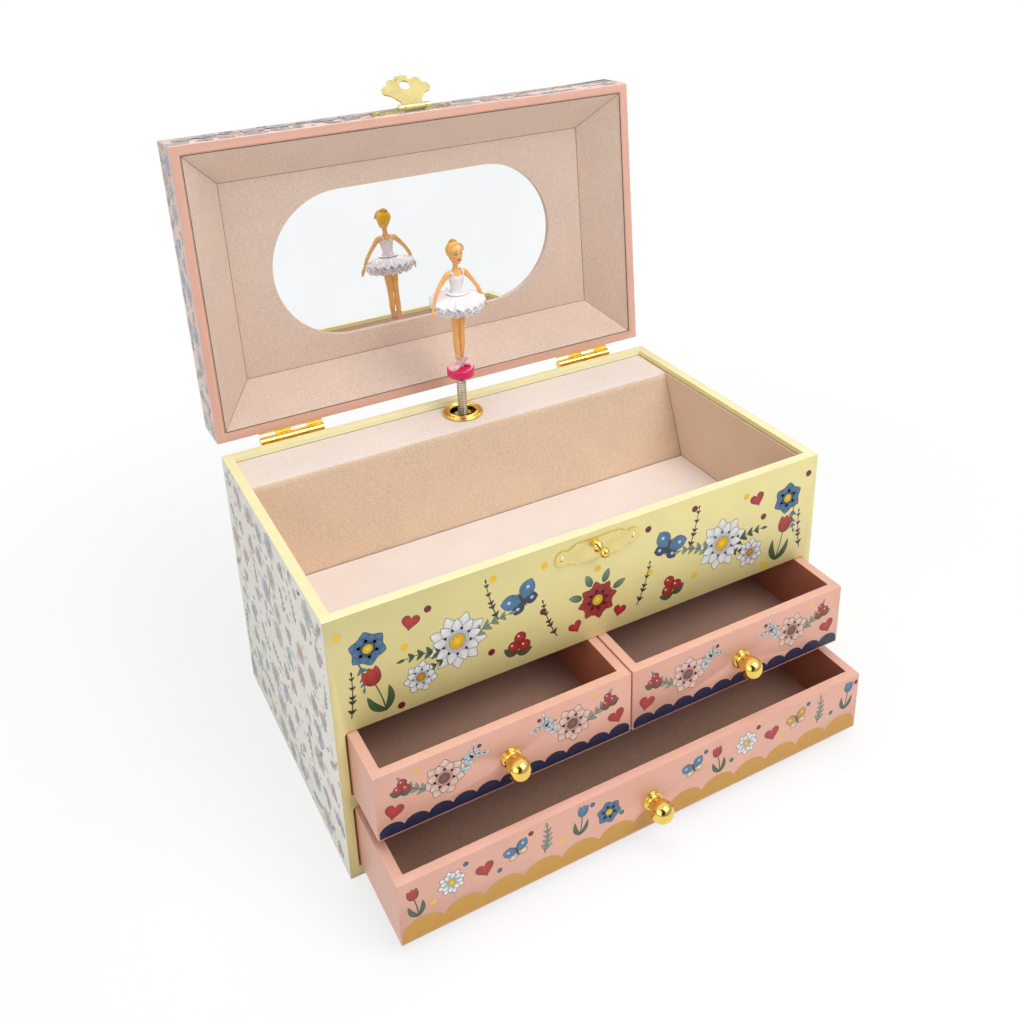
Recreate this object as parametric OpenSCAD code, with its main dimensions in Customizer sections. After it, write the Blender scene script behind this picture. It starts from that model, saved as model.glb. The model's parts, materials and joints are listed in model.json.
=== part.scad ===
// Ballerina jewellery box: a paper-covered board box with a lined tray, a mirror lid,
// three drawers and a wind-up musical movement that turns a dancer on a spring stem.
// Millimetres. +X right, +Y back, +Z up. The origin is the centre of the box's underside.

/* [Box body] */
// Width of the box
body_w = 225; // [200:1:260]
// Depth of the box
body_d = 134; // [124:1:160]
// Height of the box up to the lid seam
body_h = 121; // [118:0.5:140]
// Thickness of the wall boards
board_t = 4.2; // [3.5:0.1:5]
// Width of the front frame beside the drawer bays
stile_w = 3.8; // [3:0.1:4]
// Thickness of the bottom board
base_t = 4.8; // [3:0.1:6]
// Height of the lower drawer bay
lower_bay_h = 29.8; // [26:0.1:31]
// Thickness of the shelf between the drawer bays
shelf_t = 5.9; // [4:0.1:7]
// Height of the upper drawer bay
upper_bay_h = 29.9; // [26:0.1:31]
// Radius of the upper corners of each bay opening
bay_corner_r = 1.6; // [0.8:0.1:2.5]

/* [Tray] */
// Air gap between the upper bay and the tray deck
deck_gap = 3.4; // [2:0.1:5]
// Thickness of the tray deck board
deck_t = 3.2; // [2.5:0.1:4]
// Thickness of the flocked lining card
lining_t = 1; // [0.6:0.1:1.5]
// Drop from the seam to the top edge of the lining
lining_drop = 2.6; // [1.5:0.1:4]
// Depth of the level top of the mechanism cover
cover_depth = 24.8; // [23:0.1:28]
// Slope of the cover's face from level
cover_slope = 69.4; // [66:0.1:76]
// Thickness of the cover card
cover_t = 1.6; // [1.2:0.1:2]
// Outer radius of the cover's fold
fold_r = 4; // [3:0.1:6]

/* [Lid] */
// Height of the lid
lid_h = 22.8; // [21:0.1:30]
// Thickness of the lid's top board
lid_top_t = 2.5; // [2:0.1:4]
// Depth of the lid's hollow
lid_hollow = 16.7; // [15:0.1:17]
// Thickness of the lid's lining card
lid_card_t = 1.5; // [1:0.1:1.6]
// Angle to which the lid is open
lid_open = 95; // [90:1:100]
// Length of the mirror opening
mirror_w = 145; // [120:1:160]
// Height of the mirror opening
mirror_h = 70; // [50:1:80]
// Lap of the mirror behind its opening
mirror_lap = 3; // [2:0.5:5]

/* [Hinges] */
// Length of a hinge
hinge_len = 30; // [24:1:36]
// Distance of each hinge's middle from the side of the box
hinge_in = 34; // [27.5:0.5:52.5]
// Height of a hinge leaf
leaf_h = 9; // [7:0.5:10]
// Thickness of the hinge and clasp sheet
sheet_t = 0.8; // [0.6:0.1:1]
// Outer diameter of the hinge barrel
barrel_d = 4.2; // [3.6:0.1:5]
// Distance of the hinge axis behind the box
axis_out = 4; // [3.6:0.1:4.5]
// Drop of the hinge axis below the seam
axis_drop = 0.5; // [0:0.1:1]
// Diameter of the hinge pins
hinge_pin_d = 1.6; // [1.2:0.1:2]
// Gap between neighbouring knuckles
knuckle_gap = 0.3; // [0.2:0.1:0.6]

/* [Clasp] */
// Length of the clasp plates
plate_len = 39; // [32:0.5:44]
// Height of the clasp plates
plate_h = 9.4; // [8:0.1:11]
// Drop of the clasp post below the seam
post_drop = 7.5; // [6.5:0.1:9]
// Diameter of the ball on the clasp post
post_ball_d = 4.2; // [3.5:0.1:4.6]
// Diameter of the hasp's hole
hasp_hole_d = 5.2; // [5:0.1:6]
// Width of the hasp's shell
hasp_w = 24; // [20:0.5:26]
// Height of the hasp hinge above the seam
hasp_rise = 5.2; // [4.6:0.1:6]
// Angle of the raised hasp from where it hangs closed
hasp_open = 133; // [90:1:165]
// Outer diameter of the hasp's barrel
hasp_barrel_d = 2.8; // [2.4:0.1:3.2]
// Diameter of the hasp's pin
hasp_pin_d = 1.2; // [0.9:0.1:1.4]

/* [Drawers] */
// Thickness of the drawer boards
drawer_t = 4; // [3:0.1:5]
// Thickness of the drawer floors
drawer_floor_t = 2.4; // [1.5:0.1:3]
// Gap beside and below a drawer
drawer_gap = 0.5; // [0.3:0.05:0.7]
// Gap above a drawer
drawer_top_gap = 0.6; // [0.4:0.1:1.2]
// Gap between the two upper drawers
drawer_split = 0.9; // [0.6:0.1:1.5]
// Distance the upper drawers are pulled out
upper_pull = 25; // [15:1:40]
// Distance the lower drawer is pulled out
lower_pull = 40; // [30:1:60]
// Diameter of the knob's ball
knob_d = 9.6; // [8:0.1:11]
// Diameter of the knob's flared foot
knob_foot_d = 8.6; // [7:0.1:9]
// Diameter of the knob's spigot
knob_spigot_d = 3; // [2.4:0.1:3.6]

/* [Dancer] */
// Distance of the spindle from the back board
spindle_in = 9.8; // [9.8:0.1:10.5]
// Outer diameter of the ferrule round the spindle
ferrule_d = 19.4; // [18:0.1:19.4]
// Diameter of the ferrule's hole
ferrule_hole_d = 12; // [11:0.1:13]
// Outer diameter of the spring stem
spring_d = 4.8; // [4.4:0.1:5.4]
// Diameter of the spring's wire
spring_wire_d = 0.7; // [0.6:0.05:0.8]
// Number of turns of the spring
spring_turns = 26; // [20:1:28]
// Height of the disc's underside above the cover
disc_rise = 20.2; // [18:0.1:22]
// Thickness of the disc the dancer stands on
disc_t = 4; // [3:0.1:4.4]
// Diameter of the disc
disc_d = 13; // [11:0.1:14]
// Height of the dancer above the disc
dancer_h = 63; // [58:1:64]
// Radius of the dancer's skirt
skirt_r = 13.3; // [11:0.1:14]

/* [Movement] */
// Thickness of the cast bedplate
bedplate_t = 3; // [2.5:0.1:3.2]
// Gear module
gear_m = 0.7; // [0.66:0.01:0.72]
// Teeth of the spindle pinion
pinion_teeth = 12; // [12:1:14]
// Teeth of the cylinder wheel
cylinder_teeth = 28; // [26:1:30]
// Teeth of the mainspring barrel
barrel_teeth = 40; // [38:1:42]
// Backlash of the gears
backlash = 0.22; // [0.16:0.02:0.3]
// Diameter of the pinned cylinder
cylinder_d = 13; // [12:0.1:14]
// Height of the pins on the cylinder
pin_h = 0.8; // [0.5:0.1:1]
// Teeth of the comb
comb_teeth = 18; // [16:1:18]
// Width across the winding key's wings
key_w = 26; // [20:1:32]

/* [Hidden] */

$fn = 48;
eps = 0.01;
// clearance of a pin or shaft in its bore, on the radius
run_gap = 0.05;
// clearance between pieces that only stand beside each other
side_gap = 0.3;

// --- box levels and faces
front_y = -body_d / 2;
back_y = body_d / 2;
hinge_x = body_w / 2 - hinge_in;
inner_x = body_w / 2 - board_t;
inner_front_y = front_y + board_t;
inner_back_y = back_y - board_t;
lower_bay_top = base_t + lower_bay_h;
upper_bay_z = lower_bay_top + shelf_t;
upper_bay_top = upper_bay_z + upper_bay_h;
deck_z = upper_bay_top + deck_gap;
deck_top = deck_z + deck_t;
tray_z = deck_top + lining_t;
cover_top = body_h - lining_drop;
fold_y = inner_back_y - cover_depth;
cover_foot_y = fold_y - (cover_top - deck_top) / tan(cover_slope);
tray_back_y = fold_y - (cover_top - tray_z) / tan(cover_slope);

// --- lid
rail_h = lid_h - lid_top_t;
lid_z = body_h;
lid_inset = lid_hollow + 0.2;
mirror_t = rail_h - lid_hollow - lid_card_t;
axis_y = back_y + axis_out;
axis_z = body_h - axis_drop;

// --- clasp
post_z = body_h - post_drop;
hasp_axis_z = body_h + hasp_rise;
hasp_axis_y = front_y - sheet_t - hasp_barrel_d / 2;
hasp_reach = hasp_axis_z - post_z;
hasp_neck_w = 9.8;
nail_in = 3.1;
nail_d = 1.2;
nail_head_d = 2.2;
nail_head_t = 0.5;

// --- drawers
drawer_depth = inner_back_y - drawer_gap - front_y;
upper_drawer_w = inner_x - drawer_gap - drawer_split / 2;
upper_drawer_x = drawer_split / 2 + upper_drawer_w / 2;
upper_drawer_h = upper_bay_h - drawer_gap - drawer_top_gap;
lower_drawer_w = 2 * (inner_x - drawer_gap);
lower_drawer_h = lower_bay_h - drawer_gap - drawer_top_gap;
knob_z = 13.2;
knob_neck_d = 5;
knob_foot_t = 2.6;
knob_len = 11.6;

// --- stem and dancer
figure_h = 63;
spindle_y = inner_back_y - spindle_in;
disc_z = cover_top + disc_rise;
dancer_z = disc_z + disc_t;
spindle_d = 2.6;
spindle_top = cover_top + 2;

// --- movement
pinion_r = gear_m * pinion_teeth / 2;
cylinder_wheel_r = gear_m * cylinder_teeth / 2;
barrel_wheel_r = gear_m * barrel_teeth / 2;
governor_teeth = 12;
governor_r = gear_m * governor_teeth / 2;
bedplate_y = inner_back_y - bedplate_t;
cylinder_y = spindle_y - 4;
cylinder_x = -sqrt(pow(pinion_r + cylinder_wheel_r, 2) - pow(spindle_y - cylinder_y, 2));
barrel_y = bedplate_y - barrel_wheel_r - 1.6;
barrel_x = sqrt(pow(pinion_r + barrel_wheel_r, 2) - pow(spindle_y - barrel_y, 2));
gear_t = 2;
lug_t = 2.4;
movement_z = deck_top + 3;
bedplate_h = cover_top - cover_t - movement_z - 2;
lower_lug_z = movement_z + 1;
gear_z = lower_lug_z + lug_t + 0.8;
upper_lug_z = movement_z + bedplate_h - lug_t - 1;
collar_t = 1.2;
comb_margin = 0.5;
collar_gap = 0.2;
stem_z = upper_lug_z + lug_t + collar_gap + collar_t;
drum_z = gear_z + gear_t + 0.6;
drum_len = upper_lug_z - drum_z - collar_t;
comb_pitch = (drum_len - 2 * comb_margin) / comb_teeth;
shaft_d = 2;
comb_t = 1.5;
comb_tooth_len = 11;
comb_tip_gap = 0.15;
comb_tip_x = cylinder_x - cylinder_d / 2 - pin_h - comb_tip_gap;
comb_root_x = comb_tip_x - comb_tooth_len;
comb_base_len = 8;
comb_z = drum_z + comb_margin;
comb_h = comb_teeth * comb_pitch;
governor_angle = 205;
governor_x = cylinder_x + (cylinder_wheel_r + governor_r) * cos(governor_angle);
governor_y = cylinder_y + (cylinder_wheel_r + governor_r) * sin(governor_angle);
gearbox_h = 9.6;
gearbox_gap = 0.4;
barrel_h = (movement_z + bedplate_h - gear_z - gearbox_h - gearbox_gap) / 2;
gearbox_z = gear_z + barrel_h + gearbox_gap;
arbor_d = 3;
key_z = gearbox_z + gearbox_h / 2;
key_shaft_len = 6;
screw_in = 4;
screw_d = 2.4;
screw_head_d = 4.6;
screw_head_t = 1.6;
plate_left = comb_root_x - comb_base_len - 2;
plate_right = barrel_x + barrel_wheel_r - 2;

// A board with its lowest corner at p and size s
module board(p, s) {
    translate(p) cube(s);
}

// Children moved from the closed lid to the open one
module on_open_lid() {
    translate([0, axis_y, axis_z])
        rotate([-lid_open, 0, 0])
            translate([0, -axis_y, -axis_z])
                children();
}

// Children with their own +Z turned to face the front
module facing_front() {
    rotate([90, 0, 0]) children();
}

// Outline of a clasp plate: a broad middle with stepped round ends
module plate_outline() {
    end_r = plate_h * 0.36;
    step = plate_len * 0.27;
    square([2 * step, plate_h], center = true);
    square([plate_len - 2 * end_r, 2 * end_r - 1.2], center = true);
    for (side = [-1, 1]) {
        translate([side * (plate_len / 2 - end_r), 0]) circle(r = end_r);
        translate([side * step, 0]) circle(d = plate_h - 1.4);
    }
}

// Outline of one straight-flanked spur gear, with a tooth centred on +X
module gear_outline(teeth) {
    r = gear_m * teeth / 2;
    root = r - 1.2 * gear_m;
    tip = r + 0.85 * gear_m;
    half = (PI * gear_m / 4 - backlash / 2);
    slope = tan(21);
    function at(radius, w, side, k) =
        let (a = k * 360 / teeth + side * w / radius * 180 / PI) [radius * cos(a), radius * sin(a)];
    polygon([for (k = [0:teeth - 1]) each [
        at(root, half + slope * (r - root), -1, k),
        at(tip, half - slope * (tip - r), -1, k),
        at(tip, half - slope * (tip - r), 1, k),
        at(root, half + slope * (r - root), 1, k)]]);
}

// --- box boards

module front_frame() {
    color("#efe3a0") difference() {
        board([-body_w / 2, front_y, 0], [body_w, board_t, body_h]);
        for (bay = [[base_t, lower_bay_h], [upper_bay_z, upper_bay_h]])
            translate([0, inner_front_y + eps, bay[0]])
                facing_front()
                    linear_extrude(board_t + 2 * eps) bay_outline(bay[1]);
    }
}

// Opening of a drawer bay, with round upper corners
module bay_outline(h) {
    half = body_w / 2 - stile_w;
    translate([-half, 0]) square([2 * half, h - bay_corner_r]);
    translate([-half + bay_corner_r, 0]) square([2 * (half - bay_corner_r), h]);
    for (side = [-1, 1])
        translate([side * (half - bay_corner_r), h - bay_corner_r]) circle(r = bay_corner_r);
}

module side_panel(side) {
    x = side < 0 ? -body_w / 2 : inner_x;
    color("#ece6d8") board([x, inner_front_y, 0], [board_t, body_d - board_t, body_h]);
}

module left_panel() { side_panel(-1); }

module right_panel() { side_panel(1); }

module back_panel() {
    color("#ece6d8") difference() {
        board([-inner_x, inner_back_y, 0], [2 * inner_x, board_t, body_h]);
        translate([barrel_x, back_y + eps, key_z])
            facing_front() cylinder(h = board_t + 2 * eps, d = arbor_d + 1.6);
        for (p = screw_places())
            translate([p[0], back_y + eps, p[1]])
                facing_front() cylinder(h = board_t + 2 * eps, d = screw_d + 2 * run_gap);
    }
}

module bottom_panel() {
    color("#efe3a0")
        board([-inner_x, inner_front_y, 0], [2 * inner_x, inner_back_y - inner_front_y, base_t]);
}

module drawer_shelf() {
    color("#efe3a0")
        board([-inner_x, inner_front_y, lower_bay_top],
            [2 * inner_x, inner_back_y - inner_front_y, shelf_t]);
}

module tray_deck() {
    color("#d9c3a8")
        board([-inner_x, inner_front_y, deck_z],
            [2 * inner_x, inner_back_y - inner_front_y, deck_t]);
}

// --- tray lining

module tray_lining_floor() {
    back = tray_back_y - 0.4;
    color("#ddc7b2")
        board([-inner_x + lining_t, inner_front_y + lining_t, deck_top],
            [2 * (inner_x - lining_t), back - inner_front_y - lining_t, lining_t]);
}

module tray_lining_walls() {
    h = cover_top - deck_top;
    color("#cba886") {
        board([-inner_x + lining_t, inner_front_y, deck_top],
            [2 * (inner_x - lining_t), lining_t, h]);
        for (x = [-inner_x, inner_x - lining_t])
            board([x, inner_front_y, deck_top], [lining_t, inner_back_y - inner_front_y, h]);
    }
}

// Card that bridges from the back board, folds over and slopes down to the tray
module mechanism_cover() {
    half = inner_x - lining_t;
    tangent = fold_r * tan(cover_slope / 2);
    centre = [fold_y + tangent, cover_top - fold_r];
    inner_r = fold_r - cover_t;
    foot_w = cover_t / sin(cover_slope);
    arc = [for (i = [0:8]) 90 + cover_slope * i / 8];
    outer = [for (a = arc) centre + fold_r * [cos(a), sin(a)]];
    inner = [for (i = [8:-1:0]) centre + inner_r * [cos(arc[i]), sin(arc[i])]];
    section = concat(
        [[inner_back_y, cover_top]], outer, [[cover_foot_y, deck_top], [cover_foot_y + foot_w, deck_top]],
        inner, [[inner_back_y, cover_top - cover_t]]);
    color("#e6d3c2") difference() {
        translate([-half, 0, 0])
            rotate([90, 0, 90]) linear_extrude(2 * half) polygon(section);
        translate([0, spindle_y, cover_top - cover_t - 1])
            cylinder(h = cover_t + 2, d = ferrule_hole_d + 2);
    }
}

// Turned brass ferrule with a rounded flange, a bore and a short sleeve
module spindle_ferrule() {
    bore_r = ferrule_hole_d / 2;
    rim_r = ferrule_d / 2;
    flange_t = 1.7;
    bead_r = 0.6;
    sleeve_r = bore_r + 1 - run_gap;
    color("goldenrod") translate([0, spindle_y, cover_top]) rotate_extrude() {
        difference() {
            union() {
                translate([bore_r, -3.2]) square([sleeve_r - bore_r, 3.2 + bead_r]);
                translate([bore_r + bead_r, 0]) square([rim_r - bore_r - 2 * bead_r, flange_t * 0.7]);
                translate([bore_r + flange_t * 0.62, flange_t * 0.4]) circle(r = flange_t * 0.62);
                translate([rim_r - bead_r, bead_r]) circle(r = bead_r);
                translate([bore_r + bead_r, 0]) square([rim_r - bore_r - 2 * bead_r, bead_r]);
            }
            translate([0, -4]) square([bore_r, 8]);
            translate([sleeve_r, -4]) square([rim_r, 4]);
        }
    }
}

// --- clasp on the box

module clasp_plate() {
    color("goldenrod") difference() {
        translate([0, front_y, post_z]) facing_front() linear_extrude(sheet_t) plate_outline();
        for (side = [-1, 1])
            translate([side * (plate_len / 2 - nail_in), front_y + eps, post_z])
                facing_front() cylinder(h = sheet_t + 2 * eps, d = nail_d + 2 * run_gap);
        translate([0, front_y + eps, post_z])
            facing_front() cylinder(h = sheet_t + 2 * eps, d = 2.4 + 2 * run_gap);
    }
}

// Post with a shoulder, a neck and a ball
module clasp_post() {
    ball_out = sheet_t + 4.2;
    color("goldenrod") translate([0, front_y, post_z]) facing_front() {
        translate([0, 0, eps]) cylinder(h = sheet_t + 1, d = 2.4);
        translate([0, 0, sheet_t]) cylinder(h = 0.7, d1 = 4.4, d2 = 3.4);
        cylinder(h = ball_out, d = 2.4);
        translate([0, 0, ball_out]) sphere(d = post_ball_d);
    }
}

module clasp_nails() {
    color("goldenrod")
        for (side = [-1, 1])
            translate([side * (plate_len / 2 - nail_in), front_y - sheet_t, post_z])
                facing_front() short_nail();
}

// A nail for the clasp plates: its shank ends in the plate
module short_nail() {
    translate([0, 0, -sheet_t]) cylinder(h = sheet_t + eps, d = nail_d);
    cylinder(h = nail_head_t, d1 = nail_head_d, d2 = nail_head_d * 0.6);
}

// --- hinges. Knuckles 0 and 2 belong to the box, 1 and 3 to the lid.

knuckle_count = 4;
knuckle_step = (hinge_len + knuckle_gap) / knuckle_count;
knuckle_len = knuckle_step - knuckle_gap;
hinge_nail_x = hinge_len / 3;

// Every other knuckle of a hinge from the given one on
module knuckles(first) {
    for (k = [first:2:knuckle_count - 1])
        translate([-hinge_len / 2 + k * knuckle_step, axis_y, axis_z])
            rotate([0, 90, 0]) cylinder(h = knuckle_len, d = barrel_d);
}

module body_leaf(side) {
    top = axis_z - side_gap;
    color("goldenrod") translate([side * hinge_x, 0, 0]) difference() {
        union() {
            board([-hinge_len / 2, back_y, top - leaf_h], [hinge_len, sheet_t, leaf_h]);
            knuckles(0);
            for (k = [0, 2])
                board([-hinge_len / 2 + k * knuckle_step, back_y, axis_z - barrel_d / 2],
                    [knuckle_len, axis_out, sheet_t]);
        }
        hinge_bore();
        for (x = [-hinge_nail_x, hinge_nail_x])
            translate([x, back_y - eps, top - leaf_h / 2 - 1])
                rotate([-90, 0, 0]) cylinder(h = sheet_t + 2 * eps, d = nail_d + 2 * run_gap);
    }
}

// Running bore through all the knuckles of a hinge
module hinge_bore() {
    translate([-hinge_len / 2 - 1, axis_y, axis_z])
        rotate([0, 90, 0]) cylinder(h = hinge_len + 2, d = hinge_pin_d + 2 * run_gap);
}

module lid_leaf(side) {
    low = axis_z + 2 * side_gap + axis_drop;
    color("goldenrod") on_open_lid() translate([side * hinge_x, 0, 0]) difference() {
        union() {
            board([-hinge_len / 2, back_y, low], [hinge_len, sheet_t, leaf_h]);
            knuckles(1);
            for (k = [1, 3])
                board([-hinge_len / 2 + k * knuckle_step, back_y, axis_z + barrel_d / 2 - sheet_t],
                    [knuckle_len, axis_out, sheet_t]);
        }
        hinge_bore();
        for (x = [-hinge_nail_x, hinge_nail_x])
            translate([x, back_y - eps, low + leaf_h / 2 + 1])
                rotate([-90, 0, 0]) cylinder(h = sheet_t + 2 * eps, d = nail_d + 2 * run_gap);
    }
}

module hinge_body_leaf_left() { body_leaf(-1); }

module hinge_body_leaf_right() { body_leaf(1); }

module hinge_lid_leaf_left() { lid_leaf(-1); }

module hinge_lid_leaf_right() { lid_leaf(1); }

module hinge_pins() {
    color("goldenrod")
        for (side = [-1, 1])
            translate([side * hinge_x - hinge_len / 2, axis_y, axis_z])
                rotate([0, 90, 0]) cylinder(h = hinge_len, d = hinge_pin_d);
}

module hinge_body_nails() {
    z = axis_z - side_gap - leaf_h / 2 - 1;
    color("goldenrod")
        for (side = [-1, 1], x = [-hinge_nail_x, hinge_nail_x])
            translate([side * hinge_x + x, back_y + sheet_t, z]) rotate([-90, 0, 0]) short_nail();
}

module hinge_lid_nails() {
    z = axis_z + 2 * side_gap + axis_drop + leaf_h / 2 + 1;
    color("goldenrod") on_open_lid()
        for (side = [-1, 1], x = [-hinge_nail_x, hinge_nail_x])
            translate([side * hinge_x + x, back_y + sheet_t, z]) rotate([-90, 0, 0]) short_nail();
}

// --- lid

module lid_front_rail() {
    color("#eaa99c") on_open_lid()
        board([-body_w / 2, front_y, lid_z], [body_w, board_t, rail_h]);
}

module lid_back_rail() {
    color("#eaa99c") on_open_lid()
        board([-body_w / 2, inner_back_y, lid_z], [body_w, board_t, rail_h]);
}

module lid_side_rails() {
    color("#eaa99c") on_open_lid()
        for (x = [-body_w / 2, inner_x])
            board([x, inner_front_y, lid_z], [board_t, body_d - 2 * board_t, rail_h]);
}

module lid_top() {
    color("#d9a545") on_open_lid()
        board([-body_w / 2, front_y, lid_z + rail_h], [body_w, body_d, lid_top_t]);
}

// A sloping strip of lining card along X, mitred at both ends. Its lower edge lies at
// y = 0, z = 0 and it rises inwards, towards +Y.
module bevel_strip(length) {
    slope = atan2(lid_hollow, lid_inset);
    back = lid_card_t / sin(slope);
    mitre = lid_inset + 2 * lid_card_t;
    difference() {
        translate([-length / 2, 0, 0]) rotate([90, 0, 90]) linear_extrude(length)
            polygon([[0, 0], [lid_inset, lid_hollow], [lid_inset - back, lid_hollow],
                [0, lid_hollow * back / lid_inset]]);
        for (side = [-1, 1])
            translate([side * length / 2, 0, -1])
                rotate([0, 0, side * 45])
                    translate([side < 0 ? -3 * mitre : 0, -3 * mitre, 0])
                        cube([3 * mitre, 6 * mitre, lid_hollow + 2]);
    }
}

module lid_lining_long() {
    length = 2 * inner_x;
    color("#cfb296") on_open_lid() {
        translate([0, inner_front_y, lid_z]) bevel_strip(length);
        translate([0, inner_back_y, lid_z]) rotate([0, 0, 180]) bevel_strip(length);
    }
}

module lid_lining_ends() {
    length = body_d - 2 * board_t;
    color("#cfb296") on_open_lid() {
        translate([-inner_x, 0, lid_z]) rotate([0, 0, -90]) bevel_strip(length);
        translate([inner_x, 0, lid_z]) rotate([0, 0, 90]) bevel_strip(length);
    }
}

// A slot-shaped outline with full-round ends
module stadium(w, h) {
    square([w - h, h], center = true);
    for (side = [-1, 1]) translate([side * (w - h) / 2, 0]) circle(d = h);
}

module lid_lining_panel() {
    color("#c9a988") on_open_lid() difference() {
        board([-inner_x, inner_front_y, lid_z + lid_hollow],
            [2 * inner_x, body_d - 2 * board_t, lid_card_t]);
        translate([0, 0, lid_z + lid_hollow - 1])
            linear_extrude(lid_card_t + 2) stadium(mirror_w, mirror_h);
    }
}

module lid_mirror() {
    color("silver") on_open_lid()
        translate([0, 0, lid_z + lid_hollow + lid_card_t])
            linear_extrude(mirror_t) stadium(mirror_w + 2 * mirror_lap, mirror_h + 2 * mirror_lap);
}

// --- hasp on the lid's front rail

hasp_plate_z = hasp_axis_z + plate_h / 2;
hasp_leaf_gap = 0.25;

module hasp_plate() {
    lug = 2.6;
    color("goldenrod") on_open_lid() {
        difference() {
            union() {
                translate([0, front_y, hasp_plate_z]) facing_front() linear_extrude(sheet_t) plate_outline();
                for (x = [hasp_neck_w / 2 + hasp_leaf_gap, -hasp_neck_w / 2 - hasp_leaf_gap - lug]) {
                    translate([x, hasp_axis_y, hasp_axis_z])
                        rotate([0, 90, 0]) cylinder(h = lug, d = hasp_barrel_d);
                    board([x, hasp_axis_y, hasp_axis_z], [lug, front_y - hasp_axis_y, hasp_barrel_d / 2]);
                }
            }
            board([-hasp_neck_w / 2 - hasp_leaf_gap, front_y - 3, hasp_axis_z - 3],
                [hasp_neck_w + 2 * hasp_leaf_gap, 3 + eps, 3 + hasp_barrel_d / 2 + 0.4]);
            for (side = [-1, 1])
                translate([side * (plate_len / 2 - nail_in), front_y + eps, hasp_plate_z])
                    facing_front() cylinder(h = sheet_t + 2 * eps, d = nail_d + 2 * run_gap);
        }
        translate([-hasp_neck_w / 2 - hasp_leaf_gap - lug, hasp_axis_y, hasp_axis_z])
            rotate([0, 90, 0]) cylinder(h = hasp_neck_w + 2 * (hasp_leaf_gap + lug), d = hasp_pin_d);
    }
}

module hasp_nails() {
    color("goldenrod") on_open_lid()
        for (side = [-1, 1])
            translate([side * (plate_len / 2 - nail_in), front_y - sheet_t, hasp_plate_z])
                facing_front() short_nail();
}

// Scallop-shell outline: neck at y = 0, post hole at y = hasp_reach
module shell_outline() {
    half = hasp_w / 2;
    flank = [[hasp_neck_w / 2, 0], [hasp_neck_w / 2 + 0.2, 0.28 * hasp_reach],
        [0.64 * half, 0.54 * hasp_reach], [0.9 * half, 0.7 * hasp_reach],
        [0.9 * half, 0.92 * hasp_reach], [0.62 * half, 1.16 * hasp_reach],
        [0, 1.3 * hasp_reach]];
    difference() {
        union() {
            polygon(concat(flank, [for (i = [5:-1:0]) [-flank[i][0], flank[i][1]]]));
            for (side = [-1, 1]) {
                translate([side * (half - 2.6), 0.84 * hasp_reach]) circle(r = 2.6);
                translate([side * 0.5 * half, 1.12 * hasp_reach]) circle(r = 2.4);
            }
            translate([0, 1.24 * hasp_reach]) circle(r = 2.8);
        }
        translate([0, hasp_reach]) circle(d = hasp_hole_d);
    }
}

// Children moved from the hasp hanging closed to where it stands out from the lid
module on_raised_hasp() {
    translate([0, hasp_axis_y, hasp_axis_z])
        rotate([-hasp_open, 0, 0])
            children();
}

module hasp() {
    leaf_y = -hasp_barrel_d / 2;
    color("goldenrod") on_open_lid() on_raised_hasp() {
        difference() {
            union() {
                rotate([0, 90, 0]) translate([0, 0, -hasp_neck_w / 2])
                    cylinder(h = hasp_neck_w, d = hasp_barrel_d);
                translate([0, leaf_y + sheet_t, 0]) rotate([90, 0, 0])
                    linear_extrude(sheet_t) mirror([0, 1]) shell_outline();
                // curled lip at the tip
                translate([-3, leaf_y - 1, -1.24 * hasp_reach - 2.1]) rotate([0, 90, 0])
                    cylinder(h = 6, d = 2.2);
            }
            rotate([0, 90, 0]) translate([0, 0, -hasp_neck_w])
                cylinder(h = 2 * hasp_neck_w, d = hasp_pin_d + 2 * run_gap);
        }
    }
}

// --- drawers, each modelled shut about x = 0 and placed pulled out

module drawer_front(w, h) {
    difference() {
        board([-w / 2, 0, 0], [w, drawer_t, h]);
        translate([0, -eps, knob_z]) rotate([-90, 0, 0])
            cylinder(h = drawer_t + 2 * eps, d = knob_spigot_d + 2 * run_gap);
    }
}

module drawer_sides(w, h) {
    for (x = [-w / 2, w / 2 - drawer_t])
        board([x, drawer_t, 0], [drawer_t, drawer_depth - drawer_t, h]);
}

module drawer_back(w, h) {
    board([-w / 2 + drawer_t, drawer_depth - drawer_t, 0], [w - 2 * drawer_t, drawer_t, h]);
}

module drawer_floor(w) {
    board([-w / 2 + drawer_t, drawer_t, 0],
        [w - 2 * drawer_t, drawer_depth - 2 * drawer_t, drawer_floor_t]);
}

// Turned knob with a flared foot, a waist and a ball, and the spigot behind it
module drawer_knob() {
    foot_r = knob_foot_d / 2;
    ball_r = knob_d / 2;
    ball_z = knob_len - ball_r;
    neck_r = knob_neck_d / 2;
    translate([0, 0, knob_z]) facing_front() {
        rotate_extrude() {
            polygon([[0, 0], [foot_r, 0], [foot_r, 0.8], [foot_r - 0.9, 1.5], [neck_r, knob_foot_t],
                [neck_r, ball_z], [0, ball_z]]);
            translate([0, ball_z]) intersection() {
                circle(r = ball_r);
                translate([0, -ball_r]) square([ball_r, 2 * ball_r]);
            }
        }
        translate([0, 0, -drawer_t + 0.4]) cylinder(h = drawer_t, d = knob_spigot_d);
    }
}

module at_left_drawer() {
    translate([-upper_drawer_x, front_y - upper_pull, upper_bay_z + drawer_gap]) children();
}

module at_right_drawer() {
    translate([upper_drawer_x, front_y - upper_pull, upper_bay_z + drawer_gap]) children();
}

module at_lower_drawer() {
    translate([0, front_y - lower_pull, base_t + drawer_gap]) children();
}

module left_drawer_front() {
    color("#eaa193") at_left_drawer() drawer_front(upper_drawer_w, upper_drawer_h);
}

module left_drawer_sides() {
    color("#eaa193") at_left_drawer() drawer_sides(upper_drawer_w, upper_drawer_h);
}

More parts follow.
